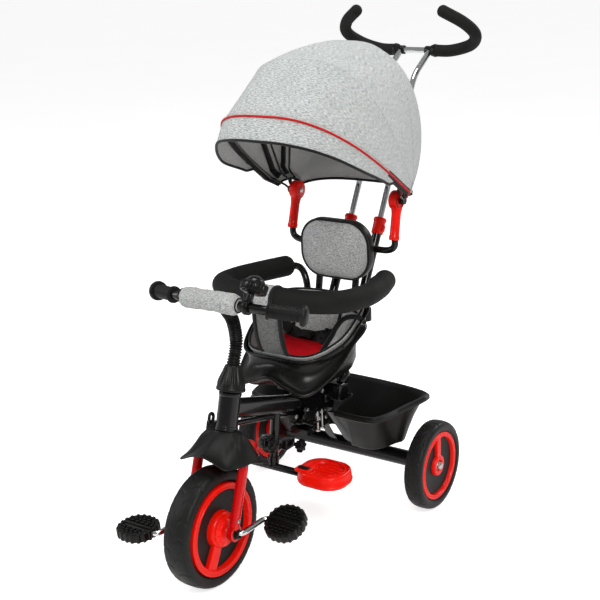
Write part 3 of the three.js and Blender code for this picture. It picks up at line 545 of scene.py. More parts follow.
def cloth(name, colour, uv=False, rough=0.85, pitch=1.2, sheen=0.15, depth=0.16):
    """Plain woven cloth or webbing in one colour."""
    s = Shader(name).set(Roughness=rough, Sheen_Weight=sheen, Specular_IOR_Level=0.12)
    kind = "UV" if uv else "Object"
    size = 1000 / pitch / 2
    a = s.add("TexWave",
        {"Vector": s.coords(kind, turn=(0.3, 0.2, 0.78)), "Scale": size, "Distortion": 0.4}).outputs[1]
    b = s.add("TexWave",
        {"Vector": s.coords(kind, turn=(0.2, -0.3, -0.78)), "Scale": size, "Distortion": 0.4}).outputs[1]
    weave = s.math("MULTIPLY", a, b)
    cloud = s.noise(s.coords(kind), 20, 4)
    dark = tuple(c * 0.6 for c in colour[:3]) + (1,)
    light = tuple(min(1, c * 1.35 + 0.006) for c in colour[:3]) + (1,)
    tone = s.mix(s.ramp(weave, 0.0, 0.8), dark, light)
    tone = s.mix(s.ramp(cloud, 0.4, 0.7, 0, 0.3), tone, dark)
    return s.plug(Base_Color=tone, Normal=s.bump(weave, depth * MM, 0.9, s.bump(cloud, 0.5 * MM))).mat


def foam_skin(name, colour, rough=0.75, cell=0.14):
    """Closed-cell foam or soft rubber with fine pores."""
    s = Shader(name).set(Specular_IOR_Level=0.2)
    where = s.coords()
    pores = s.add("TexVoronoi", {"Vector": where, "Scale": 900.0}).outputs[0]
    cloud = s.noise(where, 18, 5)
    tone = s.mix(s.ramp(cloud, 0.3, 0.75), tuple(c * 0.75 for c in colour[:3]) + (1,),
        tuple(c * 1.3 for c in colour[:3]) + (1,))
    return s.plug(
        Base_Color=tone,
        Roughness=s.ramp(cloud, 0.3, 0.7, rough - 0.08, rough + 0.1),
        Normal=s.bump(pores, cell * MM, 0.7, s.bump(cloud, 0.35 * MM))).mat


TYRE = foam_skin("tyre_foam_rubber", rgb(0.0085, 0.0084, 0.008), 0.46, 0.06)
DISC = plastic("wheel_disc_black", rgb(0.012, 0.0118, 0.011), 0.5, 0.03, 1400, 0.0, 0.3)
RED = plastic("red_plastic", rgb(0.93, 0.008, 0.002), 0.3, 0.012, 1100, 0.06, 0.1)
RED_SEAT = cloth("red_seat_cloth", rgb(0.66, 0.001, 0.008), False, 0.85, 1.3, 0.0)
RED_CLOTH = cloth("red_piping_cloth", rgb(0.6, 0.008, 0.01), False, 0.7, 0.9)
RED_PAINT = metal("red_gloss_paint", rgb(0.68, 0.002, 0.003), 0.2, 0.0, 0.4, 0, 0.012)
BLACK_PAINT = metal("black_powder_coat", rgb(0.005, 0.005, 0.005), 0.2, 0.0, 0.3, 0, 0.02)
BLACK = plastic("black_satin_plastic", rgb(0.0065, 0.0065, 0.006), 0.27, 0.015, 1000, 0.0, 0.25)
BLACK_SOFT = plastic("black_soft_plastic", rgb(0.0085, 0.0085, 0.008), 0.38, 0.025, 900, 0.0, 0.3)
GLOSS = plastic("black_gloss_plastic", rgb(0.006, 0.006, 0.006), 0.14, 0.008, 700, 0.3, 0.2)
GRIP = foam_skin("grip_rubber", rgb(0.0075, 0.0075, 0.0075), 0.44, 0.05)
FOAM = foam_skin("black_foam", rgb(0.0075, 0.0075, 0.007), 0.75, 0.16)
CHROME = metal("chrome_plate", rgb(0.78, 0.79, 0.8), 0.09, 1.0, 0.0, 0.004)
ZINC = metal("zinc_plated_steel", rgb(0.6, 0.6, 0.58), 0.28, 1.0, 0.0, 0.01)
GREY_UV = melange("grey_melange_canopy", rgb(0.72, 0.745, 0.74), rgb(0.22, 0.24, 0.235), True)
GREY = melange("grey_melange_padding", rgb(0.64, 0.65, 0.645), rgb(0.19, 0.195, 0.192), False, 0.6, 230.0)
GREY_DARK = melange("grey_melange_strap", rgb(0.2, 0.205, 0.2), rgb(0.07, 0.072, 0.07), False, 0.4, 190.0)
BINDING = cloth("black_binding_tape", rgb(0.008, 0.008, 0.008), False, 0.7, 1.0)
WEBBING = cloth("black_webbing", rgb(0.014, 0.014, 0.014), False, 0.75, 1.8, 0.1, 0.3)
THREAD = cloth("thread", rgb(0.06, 0.06, 0.06), False, 0.8, 0.5)
LINING = cloth("light_lining", rgb(0.62, 0.63, 0.62), True, 0.8, 0.9, 0.1, 0.06)
LIGHT_THREAD = cloth("light_thread", rgb(0.45, 0.46, 0.455), False, 0.8, 0.5)

# Slot names by material name. piece() looks one up when its call names none, but does not store it.
SLOT_OF = {material.name: slot for slot, group in {
    "tyre_rubber": (TYRE,), "red_plastic": (RED,), "red_fabric": (RED_SEAT, RED_CLOTH),
    "red_steel": (RED_PAINT,),
    "black_steel": (BLACK_PAINT,), "black_plastic": (DISC, BLACK, BLACK_SOFT, GLOSS),
    "grip_rubber": (GRIP,),
    "foam": (FOAM,), "chrome_steel": (CHROME, ZINC), "webbing": (WEBBING,),
    "grey_fabric": (GREY_UV, GREY, GREY_DARK, BINDING, LIGHT_THREAD)}.items() for material in group}


# ---------------------------------------------------------------- wheels
def tyre(name, centre, radius, half, inner, body, grooves, side_sign):
    """A moulded tyre: rounded shoulders, sidewall rings, shallow slanted grooves."""
    profile = [
        (-half * 0.72, inner), (-half * 0.84, inner + 1.6), (-half * 0.97, inner + (radius - inner) * 0.22),
        (-half, inner + (radius - inner) * 0.42), (-half * 0.985, inner + (radius - inner) * 0.6)]
    crown = []
    for k in range(0, 15):
        t = math.radians(162 - 144 * k / 14)
        crown.append((half * 0.96 * math.copysign(abs(math.cos(t)) ** 0.8, math.cos(t)),
            radius - (radius - inner) * 0.36 * (1 - abs(math.sin(t)) ** 0.75)))
    profile += crown
    profile += [(-h, r) for h, r in profile[4::-1]]
    profile += [(half * 0.5, inner - 0.2), (0, inner - 0.2), (-half * 0.5, inner - 0.2)]
    p = np.array(profile)
    p[:, 1] = np.minimum(p[:, 1], radius - 0.02)
    fine = even(p, 88, True)
    segments = 288
    h, r = fine[:, 0], fine[:, 1]
    angle = np.arange(segments) * 2 * math.pi / segments
    wave = angle * grooves / (2 * math.pi)
    out = np.zeros((segments, len(fine)))
    outer = np.clip((r - (inner + (radius - inner) * 0.62)) / 4.0, 0, 1)
    for lane, slope, phase in ((1, 0.55, 0.0), (-1, 0.55, 0.5)):
        reach = h * lane / half
        band = np.clip((reach - 0.08) / 0.06, 0, 1) * np.clip((0.97 - reach) / 0.05, 0, 1)
        bend = np.where(reach < 0.5, reach * slope, 0.5 * slope - (reach - 0.5) * slope * 0.9)
        at = (wave[:, None] + phase + bend[None, :]) % 1.0
        cut = np.exp(-(((at - 0.5) / 0.05) ** 2))
        out = np.maximum(out, cut * band[None, :])
    depth = out * outer[None, :] * 1.5
    rim_line = np.exp(-(((np.abs(h) - half * 0.5) / 0.7) ** 2)) * (r > radius - 9) * 0.7
    radii = r[None, :] - depth - rim_line[None, :]
    verts = np.zeros((segments, len(fine), 3))
    verts[:, :, 0] = centre[0] + h[None, :] * side_sign
    verts[:, :, 1] = centre[1] + radii * np.cos(angle)[:, None]
    verts[:, :, 2] = centre[2] + radii * np.sin(angle)[:, None]
    shape = loop_skin(list(verts))
    return piece(name, shape, TYRE, body, name.replace("_fine", ""), 50)


def disc_profile(radius, half):
    """Profile of the front wheel's black disc, closed round its middle."""
    return mirrored([(-half, 0), (-half, radius - 6), (-half - 1.2, radius - 2.4), (-half + 2, radius)])


def rim_ring(centre, r_in, r_out, face):
    """The bright ring between disc and tyre, both faces, with a small bead."""
    half = [
        (-face + 1.2, r_out), (-face, r_out - 1.2), (-face, r_out - 4.6), (-face + 0.7, r_out - 5.4),
        (-face + 0.7, r_in + 4.4), (-face - 0.5, r_in + 3.4), (-face - 0.5, r_in + 1.2), (-face + 1, r_in)]
    return turned(mirrored(half), centre, (1, 0, 0), 144, True)


def spoke_slab(centre, r0, r1, w0, w1, half, direction):
    """A flat-faced spoke through the wheel, rounded along its edges."""
    d = unit(np.array(direction, float))
    across = np.cross(V(1, 0, 0), d)
    outline = [(-w0 / 2, 0), (w0 / 2, 0), (w1 / 2, r1 - r0), (-w1 / 2, r1 - r0)]
    loop = rounded_loop([V(x, y, 0) for x, y in outline], 2.5, 3)[:, :2]
    verts, faces = plate(loop, -half, half, 1.6)
    world = np.array([centre + across * x + d * (r0 + y) + V(1, 0, 0) * z for x, y, z in verts])
    return world, faces


def front_wheel():
    c = FRONT_AXLE
    tyre("front_tire_fine", c, 125, 29, 97, "front_wheel", 20, 1)
    ring = rim_ring(c, 84, 97.2, 31)
    piece("front_wheel_ring", ring, RED, "front_wheel", "front_wheel_core", 40)
    hub = []
    for s in (-1, 1):
        profile = [
            (17.6, 0), (17.6, 39), (26, 38.2), (31.5, 36.6), (34, 33.5), (34.2, 31), (33, 29.6),
            (33, 25.5), (31.4, 24.4), (31.4, 0)]
        hub.append(turned(sided(s, profile), c, (1, 0, 0), 96))
        hub.append(spoke_slab(c + V(s * 22.6, 0, 0), 31, 87.5, 26, 29, 5.4, (0, -0.479, -0.878)))
    piece("front_wheel_hub", merged(*hub), RED, "front_wheel", smooth=38)
    disc = turned(disc_profile(85, 18), c, (1, 0, 0), 128)
    piece("front_wheel_disc", disc, DISC, "front_wheel", smooth=38)
    marks = []
    for s in (-1, 1):
        for k in range(1, 10, 2):
            a = 2 * math.pi * (k + 0.5) / 10
            at = c + V(s * 32.3, 28.6 * math.cos(a) * 0.98, 28.6 * math.sin(a) * 0.98)
            marks.append(turned(sided(s, [(0, 2.6), (1.0, 2.4), (1.4, 1.6), (1.4, 0)]), at, (1, 0, 0), 16))
    piece("front_hub_pips", merged(*marks), RED, "front_wheel")
    knob = [(34.4, 0), (34.4, 33.6), (35.6, 34), (37, 33.4), (40, 25.6), (41.7, 24.2), (41.7, 13),
        (40.4, 12), (40.4, 0)]
    piece("freewheel_knob_fine", turned(knob, c, (1, 0, 0), 96), RED, "freewheel_knob", "freewheel_knob",
        30)
    ribs = []
    for a in around(12):
        d = V(0, math.cos(a), math.sin(a))
        ribs.append(sweep(*domed([c + V(40.6, 0, 0) + d * 25.0, c + V(37.9, 0, 0) + d * 31.2], 0.9), 8))
    piece("freewheel_knob_ribs", merged(*ribs), RED, "freewheel_knob")


def rear_wheels():
    for name, s in SIDES:
        c = V(s * TRACK, 0, REAR_R)
        body = "rear_wheel_" + name
        tyre("rear_tire_" + name + "_fine", c, 101.5, 21, 78, body, 17, s)
        ring = rim_ring(c, 67, 78.2, 19)
        piece("rear_ring_" + name, ring, RED, body, "rear_wheel_core_" + name, 40)
        hub = []
        for o in (-1, 1):
            profile = [
                (10.6, 7.5), (10.6, 24.5), (15, 24), (17.8, 22.6), (18.6, 20.4), (18.4, 14.5), (17, 13.2),
                (14, 12.4), (14, 7.5)]
            hub.append(turned(sided(o, profile), c, (1, 0, 0), 72, True))
            hub.append(spoke_slab(c + V(o * 13.6, 0, 0), 20, 69.5, 16.5, 17.5, 4.4, (0, 0, 1)))
        hub.append(turned([(-14.2, 5.6), (14.2, 5.6), (14.2, 7.8), (-14.2, 7.8)], c, (1, 0, 0), 48, True))
        piece("rear_hub_" + name, merged(*hub), RED, body, smooth=38)
        disc = mirrored([(-11, 7.9), (-11, 62), (-12.2, 65), (-9, 67.5)])
        piece("rear_disc_" + name, turned(disc, c, (1, 0, 0), 112, True), DISC, body, smooth=38)
        end = c + V(s * 14.6, 0, 0)
        washer = turned([(0, 5.6), (0, 8.0), (0.9, 8.4), (1.7, 7.9), (1.7, 5.6)], end, (s, 0, 0), 48, True)
        piece("rear_washer_" + name, washer, ZINC, body)
    nut_cap = [(247.5, 0), (247.5, 5.2), (248.2, 8.8), (251, 8.2), (252.6, 6), (253.6, 3), (253.8, 0)]
    stub = [(235, 0), (235, 4.6), (248.4, 4.6), (248.4, 0)]
    bar = [turned([(-236, 0), (-236, 4.6), (236, 4.6), (236, 0)], V(0, 0, REAR_R), (1, 0, 0), 32)]
    for profile, segments in ((nut_cap, 40), (stub, 32)):
        bar += [turned(sided(s, profile), V(0, 0, REAR_R), (1, 0, 0), segments) for s in (-1, 1)]
    piece("rear_axle_fine", merged(*bar), ZINC, "frame", "rear_axle")


# ---------------------------------------------------------------- crank and pedals
def pedal_at(side):
    c = FRONT_AXLE + V(0, math.cos(CRANK_TILT), math.sin(CRANK_TILT)) * CRANK_ARM * side
    return V(side * PEDAL_X, c[1], c[2])


def crank():
    """One bent rod: pedal pin, arm, axle through the wheel, arm, pedal pin."""
    halves = []
    for side in (1, -1):
        d = V(0, math.cos(CRANK_TILT), math.sin(CRANK_TILT)) * side
        halves.append([FRONT_AXLE + V(side * x, 0, 0) + d * arm for x,
            arm in ((172, CRANK_ARM), (81, CRANK_ARM), (73, 0))])
    line = bent(halves[0] + halves[1][::-1], 16, 8)
    fine = []
    for a, b in zip(line[:-1], line[1:]):
        steps = max(1, int(np.linalg.norm(b - a) / 12))
        fine += [a + (b - a) * k / steps for k in range(steps)]
    fine.append(line[-1])
    piece("crank_fine", sweep(*domed(fine, 5.9, 2.5), 24), CHROME, "crank", "crank", 50)
    for name, s in SIDES:
        profile = [
            (50.8, 10.4), (50.8, 14), (52, 14.4), (53.4, 14), (54, 11.6), (62, 11.2), (62.6, 12.4),
            (65, 12.2), (65.8, 11.2), (65.8, 8)]
        bush = turned(sided(s, profile), FRONT_AXLE, (1, 0, 0), 48, True)
        piece("crank_bush_" + name + "_fine", bush, BLACK, "steering", "crank_bush_" + name)
        profile = [(66.4, 6.2), (66.4, 9), (67.4, 9.6), (72, 9.2), (73.4, 8), (73.4, 6.2)]
        sleeve = turned(sided(s, profile), FRONT_AXLE, (1, 0, 0), 40, True)
        piece("crank_sleeve_" + name, sleeve, BLACK, "crank")


def pedal(side, name, tilt):
    """An oval resin pedal: scalloped rim, rows of grip bars, raised axle housing."""
    lobes, power = 20, 2.3
    oval = lambda a: (abs(math.cos(a)) ** power + abs(math.sin(a)) ** power) ** (-1 / power)
    outer, inner = [], []
    for a in around(240):
        bite = 1 - 0.045 * (0.5 + 0.5 * math.tanh(-4 * math.sin(lobes * a)))
        outer.append((43 * oval(a) * bite * math.cos(a), 43 * oval(a) * bite * math.sin(a)))
        inner.append((33.5 * oval(a) * math.cos(a), 33.5 * oval(a) * math.sin(a)))
    level = lambda loop, by, z: [V(x, y, z) for x, y in offset(loop, by)]
    rim = [(0, -6.5), (-0.6, -8.4), (-2.2, -9)]
    rings = [level(outer, by, z) for by, z in rim]
    rings += [level(inner, by, z) for by, z in ((0, -9), (-0.6, -4.5), (-0.6, 4.5), (0, 9))]
    rings += [level(outer, by, -z) for by, z in rim[::-1]]
    parts = [loop_skin(rings), skin([level(inner, 1.0, -4.6), level(inner, 1.0, 4.6)])]
    for y in (-28, -20.5, -13, 13, 20.5, 28):
        half = 33 * (1 - abs(y / 36) ** power) ** (1 / power)
        count = max(2, int(half * 2 / 11))
        for k in range(count):
            x = -half + (k + 0.5) * 2 * half / count
            for z in (-6.6, 6.6):
                parts.append(block((2 * half / count - 3.2, 4.4, 4.4), (x, y, z), 0.9, corner=1))
    for k in range(lobes):
        a = 2 * math.pi * (k + 0.25) / lobes
        at = V(38.6 * oval(a) * math.cos(a), 38.6 * oval(a) * math.sin(a), 0)
        parts.append(block((6.5, 6, 20.4), at, 1.0, Matrix.Rotation(a, 3, "Z"), 1.4))
    parts.append(block((77, 14, 14), (0, 0, 0), 3, corner=2.5))
    parts.append(block((70, 6, 21.6), (0, 0, 0), 1.2, corner=1.5))
    shape = moved(rotated(merged(*parts), (1, 0, 0), math.degrees(tilt)), pedal_at(side))
    piece("pedal_" + name + "_fine", shape, BLACK, "pedal_" + name, "pedal_" + name, 40)
    cap = turned(sided(side, [(41, 0), (41, 8), (43.5, 7.4), (44.2, 5), (44.2, 0)]), pedal_at(side),
        (1, 0, 0), 32)
    piece("pedal_cap_" + name, cap, BLACK, "pedal_" + name)


# ---------------------------------------------------------------- fork, fender, steering head
def on_steering(s, off=0.0):
    return HEAD_LOW + STEER * s + V(0, off * STEER[2], -off * STEER[1])


def fork():
    parts = []
    for s in (1, -1):
        path = bent(flip([(6, -458, 288), (44, -462, 284), (FORK_X, -473, 258), (FORK_X, -505, 170),
            (FORK_X, -518, 131)], s), 14, 6)
        parts.append(sweep(path, 10.5, 32))
        eye = [(50.9, 6.5), (50.6, 16), (51.4, 17.2), (62.6, 17.2), (63.5, 16), (63.3, 6.5)]
        parts.append(turned(sided(s, eye), FRONT_AXLE, (1, 0, 0), 56, True))
    piece("fork_legs", merged(*parts), RED_PAINT, "steering", "fork", 45)
    steerer = turned([(-12, 0), (-12, 12), (0, 12), (88, 12), (88, 9.4), (88, 0)], HEAD_LOW, STEER, 40)
    piece("fork_steerer", steerer, BLACK_PAINT, "steering")
    bolts = [screw(V(s * 67.4, -514.5, 152), (s, 0, 0), 4.2, 2.4) for s in (1, -1)]
    piece("fork_screws", merged(*bolts), ZINC, "steering")


FENDER_EDGE = [(0, -539, 290), (26, -538, 283), (53, -535, 271), (63, -522, 268), (70, -490, 263),
    (70, -462, 259),
               (66, -432, 247), (56, -410, 235), (28, -404, 244), (0, -402, 248)]


def fender():
    """A moulded mudguard: four low corners, a concave flare before and behind, a shoulder over each leg."""
    half = spline(FENDER_EDGE, 200)
    loop = even(np.vstack([half, (half[1:-1] * [-1, 1, 1])[::-1]]), 168, True)
    neck_middle = on_steering(3)

    def surface(edge, k, under=0.0):
        out = unit(V(edge[0], edge[1] - neck_middle[1], 0))
        neck = neck_middle + V(22 * out[0], 22 * out[1], -6 * out[1] * 0.28)
        flat = neck + (edge - neck) * k
        side = abs(out[0]) ** 4
        drop = (1 - side) * (1 - (1 - k) ** 1.7) + side * k ** 2.4
        z = neck[2] + (edge[2] - neck[2]) * drop
        shoulder = math.exp(-(((abs(flat[0]) - 50) / 15) ** 2)) * math.exp(-(((flat[1] + 478) / 26) ** 2))
        crease = math.exp(-(((abs(out[0]) - 0.86) / 0.035) ** 2)) * (1 if out[1] < 0 else 0.6)
        z += 7.5 * shoulder - 1.5 * crease * math.sin(math.pi * min(1, k * 1.1))
        return V(flat[0], flat[1], z - under)

    outer = [[surface(e, k) for e in loop] for k in np.linspace(0, 1, 30)]
    rim = [[surface(e, 1.0) + unit(V(e[0], e[1] + 470, 0)) * by + V(0, 0, dz) for e in loop] for by,
        dz in ((0.7, -0.9), (0.6, -2.2), (-0.8, -2.9))]
    inner = [[surface(e, k * 0.985, 3.0) for e in loop] for k in np.linspace(1, 0, 22)]
    piece("front_fender_fine", loop_skin(outer + rim + inner), BLACK_SOFT, "steering", "front_fender", 60)
    collar = turned([(-12, 20.2), (-12, 22.8), (-2, 22.9), (6, 24.6), (7.6, 24.2), (8, 22), (8, 20.2)],
        HEAD_LOW - STEER * 9, STEER, 64, True)
    piece("fender_collar", collar, BLACK_SOFT, "steering")


def head():
    tube = [(0, 12.6), (0, 23), (1.2, 24), (4, 24), (5, 23.2), (9, 23.2), (10, 22.4), (70, 22.4),
        (71, 23.2), (75, 23.6), (77.4, 23.2), (HEAD_LENGTH, 22), (HEAD_LENGTH, 12.6)]
    piece("head_tube", turned(tube, HEAD_LOW, STEER, 72, True), BLACK_PAINT, "frame")
    bush = turned([(78.2, 12.6), (78.2, 20), (79, 20.6), (80.2, 20.2), (80.6, 18), (80.6, 12.6)], HEAD_LOW,
        STEER, 48, True)
    piece("head_bush_fine", bush, BLACK, "frame", "head_bush")
    profile = [(81, 28.6), (82, 30), (86, 30.3), (88, 29.4), (96, 28.4), (104, 26.4), (112, 23.2),
        (120, 20), (128, 17.4), (133, 16)]
    rings = []
    side, up = V(1, 0, 0), np.cross(STEER, V(1, 0, 0))
    for h, r in even(profile, 60):
        ring = []
        for a in around(160):
            pleat = 0.9 * math.sin(16 * a) * min(1, max(0, (h - 90) / 8)) * min(1, max(0, (134 - h) / 6))
            ring.append(HEAD_LOW + STEER * h + (r + pleat) * (math.cos(a) * side + math.sin(a) * up))
        rings.append(ring)
    top = HEAD_LOW + STEER * 134
    cap = [[top + (q - top) * f for q in rings[-1]] for f in (0.9, 0.5, 0.05)]
    bottom = HEAD_LOW + STEER * 81
    low = [[bottom + (q - bottom) * f for q in rings[0]] for f in (0.5, 0.8)]
    piece("steering_cone_fine", skin(low + rings + cap), BLACK_SOFT, "steering", "steering_cone", 50)
    line = spline([on_steering(131), on_steering(140), (0, -401, 487), (0, -408, 532), (0, -426, 560),
        (0, -433, 571)], 260)
    length = np.concatenate([[0], np.cumsum(np.linalg.norm(np.diff(line, axis=0), axis=1))])
    radii = 12.6 + 1.35 * np.sin(length * 2 * math.pi / 5.6) + 1.6 * np.exp(-((length / 9) ** 2))
    piece("steering_boot_fine", sweep(line, radii, 40), BLACK, "steering", "steering_boot", 60)


# ---------------------------------------------------------------- handlebar
def handlebar():
    ends = flip([GRIP_END], -1)[0], GRIP_END
    path = bent([ends[0], (-108, -450, 583), (0, -453, 586), (108, -450, 583), ends[1]], 14, 6)
    piece("handlebar_fine", sweep(path, 9.4, 28), BLACK_PAINT, "steering", "handlebar")
    for name, s in SIDES:
        start, end = V(s * GRIP_X, BAR_Y, 583), V(s * GRIP_END[0], GRIP_END[1], GRIP_END[2])
        axis = unit(end - start)
        length = np.linalg.norm(end - start)
        profile = [(7.6, 9.6), (7.6, 16), (8.4, 17.4), (10.6, 17.4), (11.6, 15), (13, 13.3)]
        h = 14.0
        while h < length - 12:
            profile += [(h, 13.2), (h + 0.7, 14.1), (h + 2.6, 14.3), (h + 3.3, 13.3)]
            h += 4.4
        profile += [(length - 9.5, 13.3), (length - 9, 19), (length - 8, 20), (length - 3, 20.6),
            (length, 19.6), (length + 3, 15.4), (length + 4.6, 9), (length + 5, 3), (length + 5, 0)]
        profile = [(7.6, 0)] + profile
        piece("grip_" + name + "_fine", turned(profile, start, axis, 64), GRIP, "steering", "grip_" + name,
            40)


def bar_pad():
    """The padded cover: laced underneath, gathered at its ends."""
    low, high, seam_at = -91, 55, 4.35
    rings = []
    for v in np.linspace(low, high, 86):
        u = (v - low) / (high - low)
        end = min(u, 1 - u)
        r = 20.4 * (1 - math.exp(-end * 26)) ** 0.6 + 0.4 + 1.1 * math.sin(math.pi * min(1, end * 3))
        centre = V(v, PAD_Y + 0.03 * abs(v) / 10, 585.6 - 0.02 * abs(v))
        ring = []
        for a in around(72):
            gather = 1.3 * math.sin(13 * a + 1.3 * math.sin(3 * a) + v * 0.05) * math.exp(-end * 8)
            ripple = 0.35 * math.sin(v * 0.21 + 2 * math.cos(a)) + 0.25 * math.sin(v * 0.5 + 3 * a)
            seam = -1.3 * math.exp(-(((a - seam_at) / 0.09) ** 2))
            s = r + gather + ripple + seam
            ring.append(centre + V(0, s * math.cos(a), s * math.sin(a)))
        rings.append(ring)
    obj = piece("bar_pad_cover", skin(rings), GREY, "steering", "bar_pad", 0, 1)
    ends = []
    for v, r in ((-88.5, 14.2), (53.2, 14.2)):
        loop = [V(v, PAD_Y + r * math.cos(a), 585.4 + r * math.sin(a)) for a in np.linspace(0, 2 * math.pi,
            49)]
        ends.append(sweep(loop, 1.5, 8))
    piece("bar_pad_bindings", merged(*ends), BINDING, "steering")
    seam_line = [V(v, PAD_Y + 19.6 * math.cos(seam_at),
        585.6 + 19.6 * math.sin(seam_at)) for v in np.linspace(-80, 44, 60)]
    piece("bar_pad_stitches", stitches(seam_line, 4.5), THREAD, "steering")


BELL = V(78, -432, 624)
BELL_AXIS = V(0, math.sin(math.radians(35)), math.cos(math.radians(35)))


def bell():
    clamp = turned(mirrored([(-6, 9.6), (-6, 14.4), (-4.6, 15.4)]), V(72, -452, 584.5), (1, 0.05, 0), 48,
        True)
    stem = block((12, 13, 20), (75, -446, 603), 2.5, Matrix.Rotation(math.radians(-30), 3, "X"), 3)
    base = turned([(-17.5, 0), (-17.5, 16.6), (-16.5, 19.0), (-5.4, 21.2), (-4.4, 20.4), (-4.4, 0)], BELL,
        BELL_AXIS, 64)
    lug = block((13, 8, 9), V(70, -468, 588), 1.5, Matrix.Rotation(0.3, 3, "X"), 2)
    piece("bell_bracket", merged(clamp, stem, base, lug), BLACK, "steering", "bell_base", 38)
    piece("bell_clamp_screw", screw(V(70, -472.6, 590), (0, -0.95, 0.3), 2.4, 1.6), BLACK, "steering")
    dome = [(-3.3, 0), (-3.3, 20), (-1.5, 21.1), (0, 21.2)]
    for k in range(1, 15):
        t = math.pi / 2 * k / 14
        dome.append((18.4 * math.sin(t) ** 0.96, 21.0 * math.cos(t) + 0.01))
    piece("bell_dome_fine", turned(dome, BELL, BELL_AXIS, 80), GLOSS, "steering", "bell_dome", 60)
    boss = turned([(18, 3.6), (18.9, 3.4), (19.4, 2.4), (19.5, 0)], BELL, BELL_AXIS, 24)
    piece("bell_rivet", boss, GLOSS, "steering")
    side, up = V(1, 0, 0), np.cross(BELL_AXIS, V(1, 0, 0))
    rings = []
    for h, r in ((-14.5, 22.4), (-14.5, 25.0), (-13.4, 26.0), (-4.0, 26.6), (2.8, 26.4), (3.8, 25.6),
        (3.9, 22.4)):
        ring = []
        for a in around(180):
            knurl = 0.8 * (r > 24) * math.tanh(3 * math.sin(26 * a))
            ring.append(BELL + BELL_AXIS * h + (r + knurl) * (math.cos(a) * side + math.sin(a) * up))
        rings.append(ring)
    piece("bell_ring_fine", loop_skin(rings), BLACK, "bell_ring", "bell_ring", 40)


# ---------------------------------------------------------------- frame tubes
def oval_beam(a, b, half_width, half_height, sides=40):
    a, b = np.array(a, float), np.array(b, float)
    d = unit(b - a)
    up = np.cross(V(1, 0, 0), d)
    up = up if up[2] > 0 else -up
    shape = [(math.copysign(abs(math.cos(t)) ** 0.8, math.cos(t)),
        math.copysign(abs(math.sin(t)) ** 0.8, math.sin(t)))
             for t in around(sides)]
    rings = []
    length = np.linalg.norm(b - a)
    for s, grow in ((0, 0.9), (1.5, 1), (length * 0.5, 1), (length - 1.5, 1), (length, 0.9)):
        rings.append([a + d * s + V(1, 0, 0) * x * half_width * grow + up * z * half_height * grow for x,
            z in shape])
    return skin(rings)


